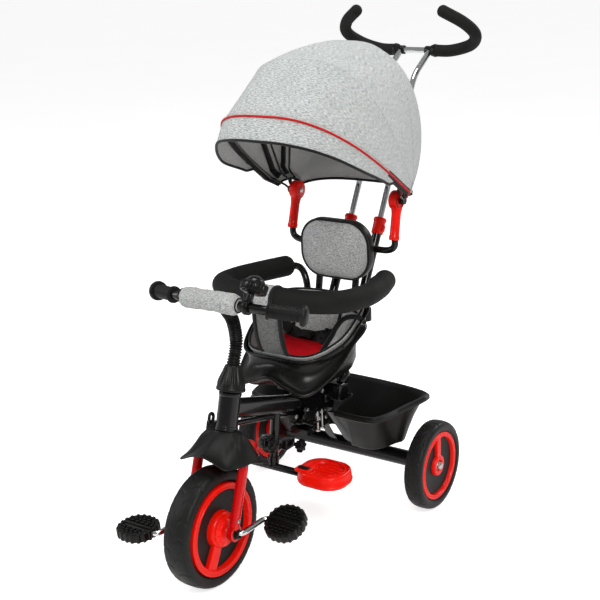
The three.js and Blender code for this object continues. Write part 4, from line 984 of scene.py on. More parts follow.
def frame_tubes():
    main = oval_beam((0, -432, 352), (0, -70, 236), 14, 21)
    lower = sweep([(0, -440, 320), (0, -300, 283.5), (0, -160, 247)], 6, 20)
    post = sweep([(0, -276, 300), (0, -290, 217), (0, -298, 167)], 10.5, 32)
    collar = sweep([(0, -294.4, 190), (0, -296.4, 177)], 12.6, 32)
    cross = sweep([(-151, FOOT_Y, FOOT_Z), (0, FOOT_Y, FOOT_Z), (151, FOOT_Y, FOOT_Z)], 8, 28)
    piece("frame_tubes", merged(main, lower, post, collar, cross), BLACK_PAINT, "frame", "main_frame", 40)
    welds = []
    for at, normal, r in ((V(0, -430, 351), V(0, 1, -0.3), 19), (V(0, -297.4, 172), V(0, 0.15, -1), 11.8),
        (V(0, -277, 296), V(0, 0.15, -1), 11.6)):
        axis = unit(np.array(normal, float))
        side = unit(np.cross(axis, V(1, 0, 0)))
        loop = [at + r * (math.cos(a) * V(1, 0,
            0) * 0.82 + math.sin(a) * side) + axis * 0.5 * math.sin(9 * a) for a in np.linspace(0,
            2 * math.pi, 97)]
        welds.append(sweep(loop, [2.1 + 0.35 * math.sin(24 * a) for a in np.linspace(0, 2 * math.pi, 97)],
            10))
    piece("frame_welds", merged(*welds), BLACK_PAINT, "frame", smooth=60)
    beam = sweep([(-196, 0, REAR_R), (-60, 0, REAR_R), (60, 0, REAR_R), (196, 0, REAR_R)], 18, 48)
    parts = [beam]
    for s in (1, -1):
        path = bent([(s * 19, -92, 222), (s * 22, -64, 180), (s * 24, -26, 126), (s * 24, -6, 106)], 12, 5)
        parts.append(ribbon(path, 22, 4.4))
        end = [(194, 0), (194, 19), (195, 19.6), (200, 19.4), (202, 18), (202, 5.4)]
        parts.append(turned(sided(s, end), V(0, 0, REAR_R), (1, 0, 0), 48))
    piece("rear_beam", merged(*parts), BLACK_PAINT, "frame", "rear_frame", 40)
    keep("seat_bracket", BLACK_PAINT, 1.6)
    lock = merged(
        block((22, 24, 22), (-32, -452, 314), 2.2, Matrix.Rotation(-RAKE, 3, "X"), 3),
        turned([(-3, 8.2), (-3, 11), (0, 12), (3, 11), (3, 8.2)], V(-33, -456, 334), (1, 0.2, 0), 32, True))
    piece("steering_lock_block", lock, BLACK, "steering")
    link = merged(
        block((26, 96, 4), (16, -196, 236), 1.4, Matrix.Rotation(-0.31, 3, "X"), 5),
        block((5, 60, 22), (24, -180, 246), 1.4, Matrix.Rotation(-0.31, 3, "X"), 6),
        sweep([(22, -222, 250), (60, -224, 250)], 4, 16))
    piece("seat_slide_plate", link, BLACK_PAINT, "frame")
    hardware = []
    for at, axis in (((20.5, -232, 262), (1, 0, 0)), ((29, -154, 232), (1, 0, 0)),
        ((29, -128, 226), (1, 0, 0)), ((22, -190, 262), (1, 0, 0)), ((22, -128, 286), (1, 0, 0))):
        hardware.append(screw(V(*at), axis, 5.2, 2.8))
    for y in (-158, -140):
        rod = [(26, y, 204), (26, y, 246)]
        hardware.append(sweep(*domed(rod, 2.6), 16))
        hardware.append(nut(V(26, y, 206), (0, 0, -1), 6, 5))
        hardware.append(nut(V(26, y, 240), (0, 0, 1), 5, 4))
    piece("seat_bolts", merged(*hardware), ZINC, "frame")
    for name, at in (("front", V(20, -330, 232)), ("rear", V(28, -240, 200))):
        rings = []
        for h, grow in ((0.3, 0.86), (1.6, 0.98), (4, 1), (11, 0.98), (13.2, 0.9), (14, 0.76)):
            lobed = [(a, (13 + 2.4 * math.cos(6 * a)) * grow) for a in around(96)]
            rings.append([at + V(h, r * math.cos(a), r * math.sin(a)) for a, r in lobed])
        shape = merged(skin(rings), turned([(-9, 4.5), (0.6, 4.5)], at, (1, 0, 0), 24),
            turned([(14, 5.6), (15, 5.2), (15.4, 3.6), (15.4, 0)], at, (1, 0, 0), 32))
        piece("star_knob_" + name + "_fine", shape, BLACK, "star_knob_" + name, "star_knob_" + name, 38)
        rod = sweep([at + V(-10, 0, 0), at + V(-19, 0, 0)], 3.4, 16)
        piece("star_bolt_" + name, merged(rod, nut(at + V(-12, 0, 0), (-1, 0, 0), 6.4, 5)), ZINC,
            "star_knob_" + name)
    tab = ribbon([(0, -316, 246), (0, -322, 238), (0, -334, 230)], 22, 5)
    clamp = merged(tab, block((20, 36, 20), (2, -322, 236), 2.5, corner=5),
        block((22, 34, 22), (6, -250, 205), 2.5, corner=5), sweep([(0, -232, 210), (0, -296, 196)], 6, 20))
    piece("post_clamps", clamp, BLACK_PAINT, "frame")


# ---------------------------------------------------------------- footrests
def foot_ring(outline, side, z, by=0.0):
    cx, cy = side * 122, -281
    return [V(cx + x, cy + y, z) for x, y in offset(outline, by)]


def footrests():
    for name, s in SIDES:
        outer = rounded_box(116, 98, 42, 18)
        well = rounded_box(84, 66, 28, 18) + np.array([s * 6, 6.0])
        rings = [
            foot_ring(outer, s, z, by) for z, by in (
                (PAD_LOW, -3.5), (156.6, -1.8), (158.6, -0.8), (163, 0), (164, -0.9), (178, -2.4),
            (181.4, -3.2), (183.4, -5), (184, -7.2))]
        inner = [
            foot_ring(well, s, z, by) for z, by in (
                (184, 1.6), (183.4, 0.4), (181.6, -0.4), (178.2, -1.2), (176.8, -2.6), (176.5, -6))]
        parts = [skin(rings + inner)]
        for dy, w in ((-16, 44), (-4, 54), (8, 54), (20, 44)):
            line = [V(s * 132 - w / 2, -279 + dy - 3, 177.4), V(s * 132, -279 + dy, 178.0),
                V(s * 132 + w / 2, -279 + dy - 3, 177.4)]
            parts.append(sweep(*domed(spline(line, 16), 2.3), 14))
        arc = [V(s * 122 + 47 * math.cos(a) * s, -281 + 38 * math.sin(a), 184.2) for a in np.linspace(-0.9,
            1.9, 40)]
        parts.append(sweep(*domed(arc, 1.6), 10))
        hood = rounded_box(38, 24, 6, 5)
        parts.append(moved(plate(hood, 181, 187.6, 2.4), (s * 88, -308, 0)))
        piece("footrest_" + name + "_fine", merged(*parts), RED, "footrest_" + name, "footrest_" + name, 36)
        pad = rounded_box(26, 13, 3, 5)
        steps = [moved(plate(pad, 183, 189.6, 1.6), (s * 88, -308, 0))]
        for k in (-6, -2, 2, 6):
            steps.append(sweep(*domed([V(s * 88 + k * 1.3, -312.4, 189.7),
                V(s * 88 + k * 1.3, -303.6, 189.7)], 0.8), 8))
        piece("footrest_button_" + name, merged(*steps), BLACK, "footrest_latch_" + name,
            "footrest_latch_" + name)
        profile = [(151.2, 0), (151.2, 8), (152.6, 7.4), (153, 5), (153, 0)]
        cap = turned(sided(s, profile), V(0, FOOT_Y, FOOT_Z), (1, 0, 0), 32)
        piece("footrest_tube_cap_" + name, cap, BLACK, "frame")


# ---------------------------------------------------------------- storage tub
def tub_outline(wide, front, back, z, notch, count=220):
    right = [
        (30, front + notch), (48, front + notch - 6), (60, front + 10), (74, front), (150 * wide, front),
        (178 * wide, front + 22),
        (194 * wide, (front + back) / 2), (204 * wide, back - 40), (188 * wide, back - 14),
        (104 * wide, back)]
    points = right + [(0, back + 4)] + [(-x, y) for x, y in reversed(right)]
    return [V(x, y, z) for x, y in even(spline(points, 360, True), count, True)]


def tub():
    mix = lambda a, b, t: [p * (1 - t) + q * t for p, q in zip(a, b)]
    floor_out = tub_outline(0.7, -74, 32, 140, 82)
    low_out = tub_outline(0.76, -80, 36, 143.5, 88)
    high_out = tub_outline(0.925, -139, 61, 239.4, 96)
    rim_low = tub_outline(0.965, -145, 66, 238.6, 99.5)
    rim_out = tub_outline(0.99, -148, 69, 241.6, 100)
    rim_top = tub_outline(0.988, -147.6, 68.8, 248.4, 100)
    crown = tub_outline(0.965, -143.6, 65.2, 252.6, 100.4)
    rim_in = tub_outline(0.93, -138.6, 60.5, 251.2, 101)
    step = tub_outline(0.915, -136, 58, 246, 101)
    low_in = tub_outline(0.76, -79, 34.6, 152, 92)
    corner_in = tub_outline(0.74, -77, 33, 147.4, 91)
    floor_in = tub_outline(0.68, -71, 29, 144, 86)
    rings = [floor_out, mix(floor_out, low_out, 0.6), low_out]
    for t in (0.04, 0.3, 0.6, 0.9, 0.97):
        rings.append(mix(low_out, high_out, t))
    rings += [high_out, rim_low, rim_out, mix(rim_out, rim_top, 0.5), rim_top, crown, rim_in, step]
    for t in (0.03, 0.35, 0.7, 0.96):
        rings.append(mix(step, low_in, t))
    rings += [low_in, corner_in, mix(corner_in, floor_in, 0.5), floor_in]
    piece("storage_tub_fine", skin(rings), BLACK_SOFT, "frame", "storage_tub", 44)
    hooks = [sweep(bent([(s * 118, 18, 142), (s * 118, 18, 130), (s * 118, 6, 126)], 5), 3.4,
        14) for s in (1, -1)]
    piece("tub_hooks", merged(*hooks), BLACK_SOFT, "frame")


# ---------------------------------------------------------------- seat
SEAT = {
    "pan": [(0, -190, 332), (60, -190, 334), (88, -150, 342), (80, -90, 352), (0, -70, 356)],
    "belly": [(0, -274, 346), (76, -270, 338), (102, -200, 366), (94, -96, 398), (0, -62, 404)],
    "ridge": [(0, -304, 374), (50, -302, 356), (90, -288, 345), (118, -224, 376), (122, -152, 418),
    (112, -84, 446), (0, -48, 450)],
    "rim": [(0, -284, 414), (80, -268, 412), (120, -200, 430), (126, -130, 460), (108, -66, 486),
    (0, -42, 490)],
    "inner": [(0, -278, 412), (77, -262, 410), (116, -197, 429), (122, -130, 458), (104, -72, 484),
    (0, -48, 488)],
    "well": [(0, -262, 396), (72, -246, 392), (102, -186, 396), (102, -120, 408), (90, -78, 420),
    (0, -60, 424)],
    "floor": [(0, -220, 384), (50, -210, 384), (74, -170, 386), (66, -110, 392), (0, -84, 396)]}


def seat_ring(name, count=144, dz=0.0, grow=1.0):
    left = SEAT[name]
    points = left + [(-x, y, z) for x, y, z in reversed(left[1:-1])]
    ring = even(spline(points, 400, True), count, True)
    middle = V(0, SEAT_Y, 0)
    return [middle + (p - middle) * V(grow, grow, 1) + V(0, 0, dz) for p in ring]


def between(a, b, t, bulge=0.0):
    """A ring part of the way from one to another, pushed in towards the middle by bulge."""
    out = []
    for p, q in zip(a, b):
        m = p * (1 - t) + q * t
        side = unit(V(m[0], m[1] - SEAT_Y, 0) + V(1e-6, 0, 0))
        out.append(m - side * bulge * math.sin(math.pi * t))
    return out


def seat():
    pan, belly, ridge = seat_ring("pan"), seat_ring("belly"), seat_ring("ridge")
    rim, inner, well, floor = (seat_ring(n) for n in ("rim", "inner", "well", "floor"))
    rings = [pan, between(pan, belly, 0.5, -5), between(pan, belly, 0.85, -3), belly]
    rings += [between(belly, ridge, t, 7) for t in (0.25, 0.5, 0.75, 0.9)]
    lip = lambda ring, out, dz: [p + unit(V(p[0], p[1] - SEAT_Y, 0)) * out + V(0, 0, dz) for p in ring]
    rings += [lip(ridge, -3.4, -4.6), lip(ridge, 0.4, -3.4), lip(ridge, 1.8, -0.6), lip(ridge, 1.2, 2.2),
        lip(ridge, -1.6, 4.0), lip(ridge, -4.6, 4.6)]
    rings += [between(lip(ridge, -4.6, 5), lip(rim, -4.4, -5), t, 13) for t in (0.1, 0.25, 0.4, 0.55, 0.7,
        0.85, 0.95)]
    rings += [lip(rim, -3.2, -4.6), lip(rim, 0.0, -3.8), lip(rim, 1.6, -1.4), lip(rim, 1.2, 0.8),
        lip(rim, -0.6, 2.0), lip(rim, -2.6, 1.6), inner]
    rings += [between(inner, well, t, -4) for t in (0.3, 0.65)] + [well] + [between(well, floor,
        t) for t in (0.3, 0.65)] + [floor]
    piece("seat_shell_fine", skin(rings), BLACK, "frame", "seat_shell", 50)
    seat_cloth()
    screws = [screw(V(s * 118, -186, 424), (s, -0.3, 0.2), 3.6, 2) for s in (1, -1)]
    piece("seat_screws", merged(*screws), BLACK, "frame")


def side_wing(s):
    """The raised padded wing of the liner beside the rider, edged by an arch of black tape."""
    name = "left" if s > 0 else "right"
    arch = flip([(74, -206, 410), (80, -194, 427), (87, -182, 444), (92, -172, 460), (98, -160, 472),
        (104, -146, 477), (112, -130, 475), (118, -118, 469), (123, -108, 459)], s)
    foot = flip([(84, -214, 408), (92, -202, 414), (101, -188, 421), (108, -174, 429), (113, -160, 437),
        (117, -146, 444), (119, -132, 451), (121, -118, 458), (123, -108, 462)], s)
    rings = []
    for a, b in zip(spline(arch, 40), spline(foot, 40)):
        down = b - V(s * 8, 0, 12)
        ring = []
        for t in around(28):
            u = 0.5 - 0.5 * math.cos(t)
            ring.append(down + (a - down) * u + unit(V(-s, -0.3,
                0.2)) * (5.0 * math.sin(t) + 2.5 * math.sin(math.pi * u)))
        rings.append(ring)
    wing = piece("seat_wing_" + name, skin(rings), GREY, "frame", smooth=0, subdivide=1)
    back = flip([(80, -176, 424), (80, -150, 452), (70, -116, 478), (50, -86, 488), (26, -73, 490),
        (0, -69, 491)], s)
    binding = merged(sweep(*domed(spline(arch, 60), 5.6), 14), sweep(*domed(spline(back, 60), 3.6), 12))
    piece("seat_wing_binding_" + name, binding, BINDING, "frame")


def seat_cloth():
    floor, well, inner = (seat_ring(n) for n in ("floor", "well", "inner"))
    lift = lambda ring, dz, grow: [V(p[0] * grow, SEAT_Y + (p[1] - SEAT_Y) * grow, p[2] + dz) for p in ring]
    top = lift(inner, 8.5, 0.945)
    rings = [lift(floor, 1, 0.98), lift(well, 1.2, 0.98),
        between(lift(well, 1.2, 0.98), lift(inner, 5, 0.975), 0.6), lift(inner, 5.4, 0.975),
        lift(inner, 8.2, 0.965), top]
    a, b, c = lift(inner, 6.4, 0.92), lift(well, 8, 0.88), lift(floor, 9.5, 0.92)
    rings += [a, between(a, b, 0.35, -2.2), between(a, b, 0.7, -2.2), b, between(b, c, 0.4, 0), c]
    liner = piece("seat_liner_cloth", skin(rings), GREY, "frame", "seat_liner", 0, 1)
    ring = top + [top[0]]
    piece("seat_liner_binding", sweep([p + V(0, 0, 0.6) for p in ring], 2.6, 10), BINDING, "frame")
    half = [(0, -258, 401), (50, -253, 401), (80, -232, 402), (93, -200, 404), (84, -158, 404),
        (62, -112, 404), (0, -92, 405)]
    ring = even(spline(half + [(-x, y, z) for x, y, z in reversed(half[1:-1])], 300, True), 120, True)
    grown = lambda grow, dz: [V(p[0] * grow, -172 + (p[1] + 172) * grow, p[2] + dz) for p in ring]
    pad = [grown(g, dz) for g,
        dz in ((0.4, -9), (0.94, -8), (0.985, -4), (1.0, 0), (0.985, 3.4), (0.93, 6), (0.8, 7.8),
        (0.6, 8.8), (0.35, 9.2), (0.1, 9.4))]
    cushion = piece("seat_cushion_cloth", skin(pad), RED_SEAT, "frame", "seat_cushion", 0, 1)
    edge = grown(1.012, 0.5)
    piece("seat_cushion_binding", sweep(edge + [edge[0]], 2.2, 10), BINDING, "frame", slot="red_fabric")
    for s in (1, -1):
        side_wing(s)


def straps():
    path = spline([(0, -256, 410), (0, -274, 424), (0, -285, 450), (0, -291, 484), (0, -293, 520)], 36)
    strap = piece("crotch_strap_cloth", ribbon(path, 66, 5, crown=1.6), GREY_DARK, "frame", "crotch_strap",
        0, 1)
    edges = [ribbon([p + V(s * 32, 0, 0) for p in path], 11.5, 6.5, crown=0.5) for s in (1, -1)]
    piece("crotch_strap_binding", merged(*edges), BINDING, "frame")
    rows = [stitches([p + V(s * 24.4, -3.9, 0) for p in path], 4.2) for s in (1, -1)]
    piece("crotch_strap_stitches", merged(*rows), THREAD, "frame")
    half = [(12, -152, 418), (38, -146, 424), (66, -134, 430), (84, -124, 440), (92, -112, 450)]
    belt = [spline(flip(half, s), 40) for s in (1, -1)]
    bands = [ribbon(p + V(0, 0, 1.4), 24, 2.2, across=(0.1, 0.5, 0.86)) for p in belt]
    piece("lap_belt_webbing", merged(*bands), WEBBING, "frame", "lap_belt", 40)
    tail = ribbon(spline([(30, -150, 426), (50, -160, 424), (66, -150, 432), (62, -132, 438)], 30), 22,
        2.0, across=(0.2, 0.6, 0.8))
    piece("lap_belt_tail", tail, WEBBING, "frame")
    buckle = merged(
        block((34, 24, 11), (0, -152, 424), 3.2, Matrix.Rotation(0.35, 3, "X"), 6),
        block((10, 27, 7), (15, -152, 424), 2.2, Matrix.Rotation(0.35, 3, "X"), 3),
        block((9, 34, 6), (44, -146, 430), 1.6, Matrix.Rotation(0.5, 3, "X"), 3),
        block((9, 34, 6), (-44, -146, 430), 1.6, Matrix.Rotation(0.5, 3, "X"), 3))
    piece("lap_belt_buckle", buckle, BLACK, "frame", slot="webbing")


# ---------------------------------------------------------------- backrest and safety ring
GUARD = [(132, -31, 532), (152, -95, 534), (162, -170, 539), (148, -244, 546), (98, -286, 551),
    (26, -298, 553)]


def head_rest():
    parts = []
    for s in (1, -1):
        path = bent([(s * 48, -27, 418), (s * 48, -24, 480), (s * 48, -14, 530)], 30, 6)
        parts.append(sweep(path, 8, 28))
    parts.append(sweep([(-52, -26.5, 430), (0, -26.5, 430), (52, -26.5, 430)], 6, 20))
    piece("backrest_tubes_fine", merged(*parts), BLACK_PAINT, "frame", "backrest_tubes")
    outline = rounded_box(180, 134, 54, 20)
    n = len(outline)

    def ring(grow, y, ripple=0.0):
        out = []
        for k, (x, z) in enumerate(outline):
            r = grow + ripple * math.sin(k * 2 * math.pi / n * 26) * 0.01
            out.append(V(x * r, y, CUSHION_Z + z * r))
        return out

    rings = [ring(0.3, -0.5), ring(0.85, -1.5), ring(0.97, -5), ring(0.995, -10), ring(0.995, -21),
        ring(0.965, -24.5, 0.4)]
    for grow, y in ((0.93, -27.6), (0.88, -30.6), (0.8, -33.4), (0.68, -35.6), (0.52, -37.2),
        (0.34, -38.2), (0.16, -38.7), (0.04, -38.8)):
        rings.append(ring(grow, y, 0.5 if grow > 0.85 else 0))
    obj = piece("head_cushion_cloth", skin(rings), GREY, "frame", "head_cushion", 0, 1)
    rim = ring(0.972, -24.8)
    piece("head_cushion_piping", sweep(rim + [rim[0]], 3.0, 12), BINDING, "frame")
    wall = [ring(1.0, -22.6), ring(1.006, -20), ring(1.006, -8), ring(0.99, -3.5), ring(0.9, -0.6),
        ring(0.4, 0.2)]
    piece("head_cushion_back", skin(wall), BLACK_SOFT, "frame")
    back = rounded_box(120, 84, 22, 8)
    plate_back = [[V(x * g, y, CUSHION_Z + z * g) for x, z in back] for g,
        y in ((1, 0), (1, 2.6), (0.96, 3.6))]
    piece("head_cushion_plate", skin(plate_back), BLACK, "frame")


def guard_path(side, count=90):
    return spline(flip(GUARD, side), count)


def guards():
    for name, s in SIDES:
        body = "guard_" + name
        path = guard_path(s)
        points, radii = domed(path[:-1], 24, 20, 9)
        piece("guard_foam_" + name + "_fine", sweep(points, radii, 56), FOAM, body, "guard_foam_" + name,
            60)
        start = [(78, -24, 440), (78, -24, 500), (100, -14, 532),
            tuple(V(*GUARD[0]) * 1.08 - V(*GUARD[1]) * 0.08),
            tuple(V(*GUARD[0]) * 0.7 + V(*GUARD[1]) * 0.3)]
        tube_path = bent(flip(start, s), 26, 8)
        socket = turned([(-16, 8.2), (-16, 11), (-14.6, 11.8), (12, 11.8), (13.6, 11), (14, 8.2)],
            V(s * 78, -24, 446), (0, 0, 1), 36, True)
        piece("guard_tube_" + name + "_fine", sweep(tube_path, 8, 28), BLACK_PAINT, body,
            "guard_tube_" + name)
        piece("guard_socket_" + name, socket, BLACK, "frame")
    path = spline([(-32, -296.6, 552.6), (0, -298.6, 553.2), (32, -296.6, 552.6)], 26)
    n = len(path)
    radii = [25.6 + 0.7 * math.sin(i * 1.1) * math.sin(math.pi * i / (n - 1)) for i in range(n)]
    wrap = piece("guard_wrap", sweep(path, radii, 56), GREY, "guard_left", smooth=0, subdivide=1)
    bands = [sweep(spline([(x - 4.6, -298.4 + abs(x) * 0.03, 553), (x, -298.4 + abs(x) * 0.03, 553),
        (x + 4.6, -298.4 + abs(x) * 0.03, 553)], 6), [25.6, 26.7, 27.2, 27.2, 27.2, 26.7, 25.6],
        56) for x in (-31, 31)]
    piece("guard_wrap_binding", merged(*bands), BINDING, "guard_left")


# ---------------------------------------------------------------- push handle and canopy arm
PUSH_DIR = unit(KINK - COLLAR)


def push_at(side, base, along=0.0):
    p = base + PUSH_DIR * along
    return V(side * PUSH_X, p[0], p[1])


def horn(side):
    points = [(114, 280, 1082), (156, 303, 1054), (172, 328, 1026), (148, 355, 1000), (96, 359, 985),
        (PUSH_X + 8, 358, 984)]
    return spline(flip(points, side), 80)


def push_handle():
    legs, sockets = [], []
    for name, s in SIDES:
        path = bent([push_at(s, COLLAR, -70), push_at(s, KINK), V(s * PUSH_X, *PUSH_TOP)], 24, 8)
        legs.append(sweep(path, 7, 32))
        sockets.append(sweep([push_at(s, COLLAR, -384), push_at(s, COLLAR, -180), push_at(s, COLLAR, -6)],
            10.5, 36))
        axis = V(0, *PUSH_DIR)
        profile = [(-36, 11), (-36, 12.8), (-34.8, 13.6), (-8, 13.6), (-6.6, 14.2), (-5.4, 15.2),
            (-2, 15.2), (0.4, 14.6), (2.2, 13), (2.4, 7.8), (-3, 7.6), (-5.6, 11)]
        collar = turned(profile, push_at(s, COLLAR), axis, 48, True)
        pin = block((7, 12, 16), push_at(s, COLLAR, -22) + V(s * 12.6, 0, 0), 2,
            Matrix.Rotation(-0.5, 3, "X"), 3)
        piece("push_collar_" + name + "_fine", merged(collar, pin), RED, "frame", "push_collar_" + name, 40)
        grip, radii = domed(horn(s)[:-1], 14, 12, 8)
        piece("push_grip_" + name + "_fine", sweep(grip, radii, 40), FOAM, "push_handle",
            "push_grip_" + name, 60)
        cap = turned([(-3, 14.6), (-1, 15.4), (3, 15.2), (4.4, 13.4)], horn(s)[-3], V(1, 0, 0), 40)
        piece("push_grip_end_" + name, cap, BLACK, "push_handle")
    cross = sweep([(-50, 358, 984), (0, 358, 984), (50, 358, 984)], 7, 28)
    yokes = [turned(mirrored([(-11, 7.2), (-11, 9.6), (-9.6, 10.4)]), V(s * PUSH_X, 358, 984), V(1, 0, 0),
        36, True) for s in (1, -1)]
    piece("push_rods", merged(cross, *legs), CHROME, "push_handle", "push_handle", 50)
    piece("push_yokes", merged(*yokes), BLACK, "push_handle")
    foot = merged(
        block((104, 34, 40), (0, -82, 274), 5, None, 7), block((46, 60, 20), (0, -86, 262), 4, None, 6),
        *[turned([(0, 12.2), (1, 13), (26, 13), (28, 12)], push_at(s, COLLAR, -386), V(0, *PUSH_DIR),
        40) for s in (1, -1)])
    piece("push_socket_tubes", merged(foot, *sockets), BLACK_PAINT, "frame", "push_sockets", 40)
    tie = block((96, 8, 26), (0, 60, 560), 3, Matrix.Rotation(-0.5, 3, "X"), 5)
    piece("push_tube_tie", tie, BLACK, "frame")


def canopy_arm():
    route = [(134, 11, 632), (137, 9, 588), (-137, 9, 588), (-134, 11, 632)]
    line = bent(route, 34, 12)
    piece("canopy_arm_fine", sweep(line, 7.5, 28), BLACK_PAINT, "frame", "canopy_arm")
    for name, s in SIDES:
        low, high = V(s * 134.5, 11, 631), V(s * 133, 25, 686)
        axis = unit(high - low)
        sleeve = turned([(-17, 8.2), (-17, 10.6), (-15.6, 11.6), (-9, 11.8), (-7.4, 10.8), (4, 10.6),
            (40, 10.4), (48, 11.6), (56, 13)], low, axis, 40)
        head_profile = [(-12, 0), (-12, 18.4), (-10.6, 20.6), (-8, 21.2), (5, 21.2), (7.2, 20.4),
            (8, 18.8), (8, 16.4), (6.6, 15.6), (6.6, 12.6), (8, 11.8), (8, 0)]
        disc = turned(sided(s, head_profile), V(s * PIVOT[0], PIVOT[1], PIVOT[2]), (1, 0, 0), 72)
        piece("canopy_pivot_" + name + "_fine", merged(sleeve, disc), RED, "frame", "canopy_pivot_" + name,
            38)
        at = V(s * (PIVOT[0] + 8.2), PIVOT[1], PIVOT[2])
        nub = merged(
            turned(sided(s, [(0, 8.6), (3.4, 8.2), (4.6, 6.6), (4.6, 0)]), at, (1, 0, 0), 40),
            *[sweep([at + V(s * 0.2, 17.6 * math.cos(a), 17.6 * math.sin(a)) for a in np.linspace(b,
            b + 1.5, 16)], 0.9, 8) for b in (0.4, 2.5, 4.6)])
        piece("canopy_pivot_cap_" + name, nub, BLACK, "frame")
        inner_cap = screw(V(s * (PIVOT[0] - 12.2), PIVOT[1], PIVOT[2]), (-s, 0, 0), 6, 3)
        piece("canopy_pivot_screw_" + name, inner_cap, ZINC, "frame")


# ---------------------------------------------------------------- canopy cloth
# Each hoop: angle back from straight ahead, reach above the hinge, half width.
# The second, third and fourth are the wires'.
WIRES = [(36, 376, 186), (62, 360, 182), (93, 338, 172)]
HOOPS = [(28, 377, 184)] + WIRES + [(108, 308, 166), (124, 252, 160), (140, 180, 154), (152, 118, 150),
    (172, 98, 148)]


def hoop_shape(angle, reach, half, inset=0.0, count=120):
    """Evenly spaced (x, r) points of one hoop, from the rider's left over the crown."""
    points = [(half - 20 - inset, 24)]
    for k in range(1, 46):
        t = math.pi / 2 * (k / 45) ** 1.25
        if k == 1 or reach * math.sin(t) ** (2 / 3) < 40:
            continue
        points.append(((half - inset) * max(0.0, math.cos(t)) ** (2 / 3) if k < 45 else 0.0,
            (reach - inset) * math.sin(t) ** (2 / 3)))
    left = np.array(points)
    full = np.vstack([left, (left[:-1] * [-1, 1])[::-1]])
    return even(spline(full, 500), count)


def fold_point(x, r, angle):
    a = math.radians(angle)
    return V(x, PIVOT[1] - r * math.cos(a), PIVOT[2] + r * math.sin(a))


def canopy_row(v, count=120):
    """One row of the cloth; v runs 0 to 8 over the nine hoops.

    Between wires the cloth runs nearly straight.
    """
    i = min(int(v), len(HOOPS) - 2)
    t = v - i
    (a0, r0, h0), (a1, r1, h1) = HOOPS[i], HOOPS[i + 1]
    if i < 3:
        angle = a0 + (a1 - a0) * t
        reach, half = r0 + (r1 - r0) * t, h0 + (h1 - h0) * t
        d = math.radians(a1 - a0)
        chord = r0 * r1 * math.sin(d) / (r0 * math.sin(d * t) + r1 * math.sin(d * (1 - t)))
        share = (0.0, 0.85, 0.45)[i]
        reach = reach * (1 - share) + chord * share
    else:
        ring = spline(HOOPS[3:], 5 * 40)
        angle, reach, half = ring[min(len(ring) - 1, int(round((v - 3) * 40)))]
    return angle, hoop_shape(angle, reach, half, 0, count)


def visor_reach(s):
    """How much of the visor there is at a place along the hoop; s runs 0 to 1 from end to end."""
    e = min(s, 1 - s)
    t = min(1.0, max(0.0, (e - 0.085) / 0.045))
    return t * t * (3 - 2 * t)


def canopy_grid(rows_per=(8, 18, 20, 10, 9, 8, 7, 6), count=150):
    """Points of the cloth, row by row, and the rows' places v."""
    grid, values = [], [0.0]
    for i, n in enumerate(rows_per):
        values += [i + (k + 1) / n for k in range(n)]
    for v in values:
        angle, shape = canopy_row(v, count)
        row = []
        for j, (x, r) in enumerate(shape):
            s = j / count
            here = angle
            if v < 1:
                here = WIRES[0][0] - (WIRES[0][0] - angle) * visor_reach(s)
                far = math.exp(-(((s - 0.78) / 0.075) ** 2)) + 0.35 * math.exp(-(((s - 0.22) / 0.06) ** 2))
                droop = (1 - v) * far * visor_reach(s)
                x += math.copysign(12 * droop, x)
                here -= 2.4 * droop
            wrinkle = 0.0
            if 1 < v < 3:
                span = math.sin(math.pi * (v % 1))
                wrinkle -= span * (1.6 + 1.3 * math.sin(9 * s * math.pi + v) + 0.8 * math.sin(23 * s + 2 * v))
            wrinkle += 0.9 * math.sin(60 * s + 5 * math.sin(7 * s)) * math.exp(-(((v - 1.0) / 0.16) ** 2))
            wrinkle += 0.7 * math.sin(72 * s + 1.0) * math.exp(-(((v - 0.0) / 0.3) ** 2))
            edge = min(s, 1 - s)
            wrinkle += 1.8 * math.sin(5.3 * v) * math.exp(-((edge / 0.12) ** 2)) * min(1, r / 150)
            row.append(fold_point(x + math.copysign(0.15 * wrinkle, x) * (abs(x) > 1), r + wrinkle, here))
        grid.append(row)
    return np.array(grid), values


def grid_normals(grid):
    du = np.gradient(grid, axis=1)
    dv = np.gradient(grid, axis=0)
    n = np.cross(du, dv)
    n /= np.linalg.norm(n, axis=2)[:, :, None] + 1e-9
    centre = V(0, 27, 740)
    out = grid - centre
    return n * np.sign((n * out).sum(2).mean())


def cloth_body(grid, thick):
    """A closed thin skin from a grid, and which faces look inwards."""
    normals = grid_normals(grid)
    outer, inner = grid + normals * thick / 2, grid - normals * thick / 2
    rows, cols = grid.shape[:2]
    verts = np.concatenate([outer.reshape(-1, 3), inner.reshape(-1, 3)])
    base = rows * cols
    faces, lining = [], []
    at = lambda i, j, k=0: k * base + i * cols + j
    for i in range(rows - 1):
        for j in range(cols - 1):
            faces.append((at(i, j), at(i, j + 1), at(i + 1, j + 1), at(i + 1, j)))
            lining.append(0)
            faces.append((at(i, j, 1), at(i + 1, j, 1), at(i + 1, j + 1, 1), at(i, j + 1, 1)))
            lining.append(1)
    for i in range(rows - 1):
        for j in (0, cols - 1):
            faces.append((at(i, j), at(i + 1, j), at(i + 1, j, 1), at(i, j, 1)))
            lining.append(0)
    for j in range(cols - 1):
        for i in (0, rows - 1):
            faces.append((at(i, j), at(i, j + 1), at(i, j + 1, 1), at(i, j, 1)))
            lining.append(0)
    return (verts, faces), lining


def fold_weights(obj):
    """Works out the angle of each point about the canopy hinge, which nothing uses, and bakes the object's
    transform into its mesh.
    """
    co = np.array([v.co for v in obj.data.vertices], float)
    y, z = co[:, 1] - (PIVOT[1] * MM + REAR_Y), co[:, 2] - PIVOT[2] * MM
    angle = np.degrees(np.arctan2(z, -y))
    angle = np.where(angle < -90, angle + 360, angle)
    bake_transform(obj)


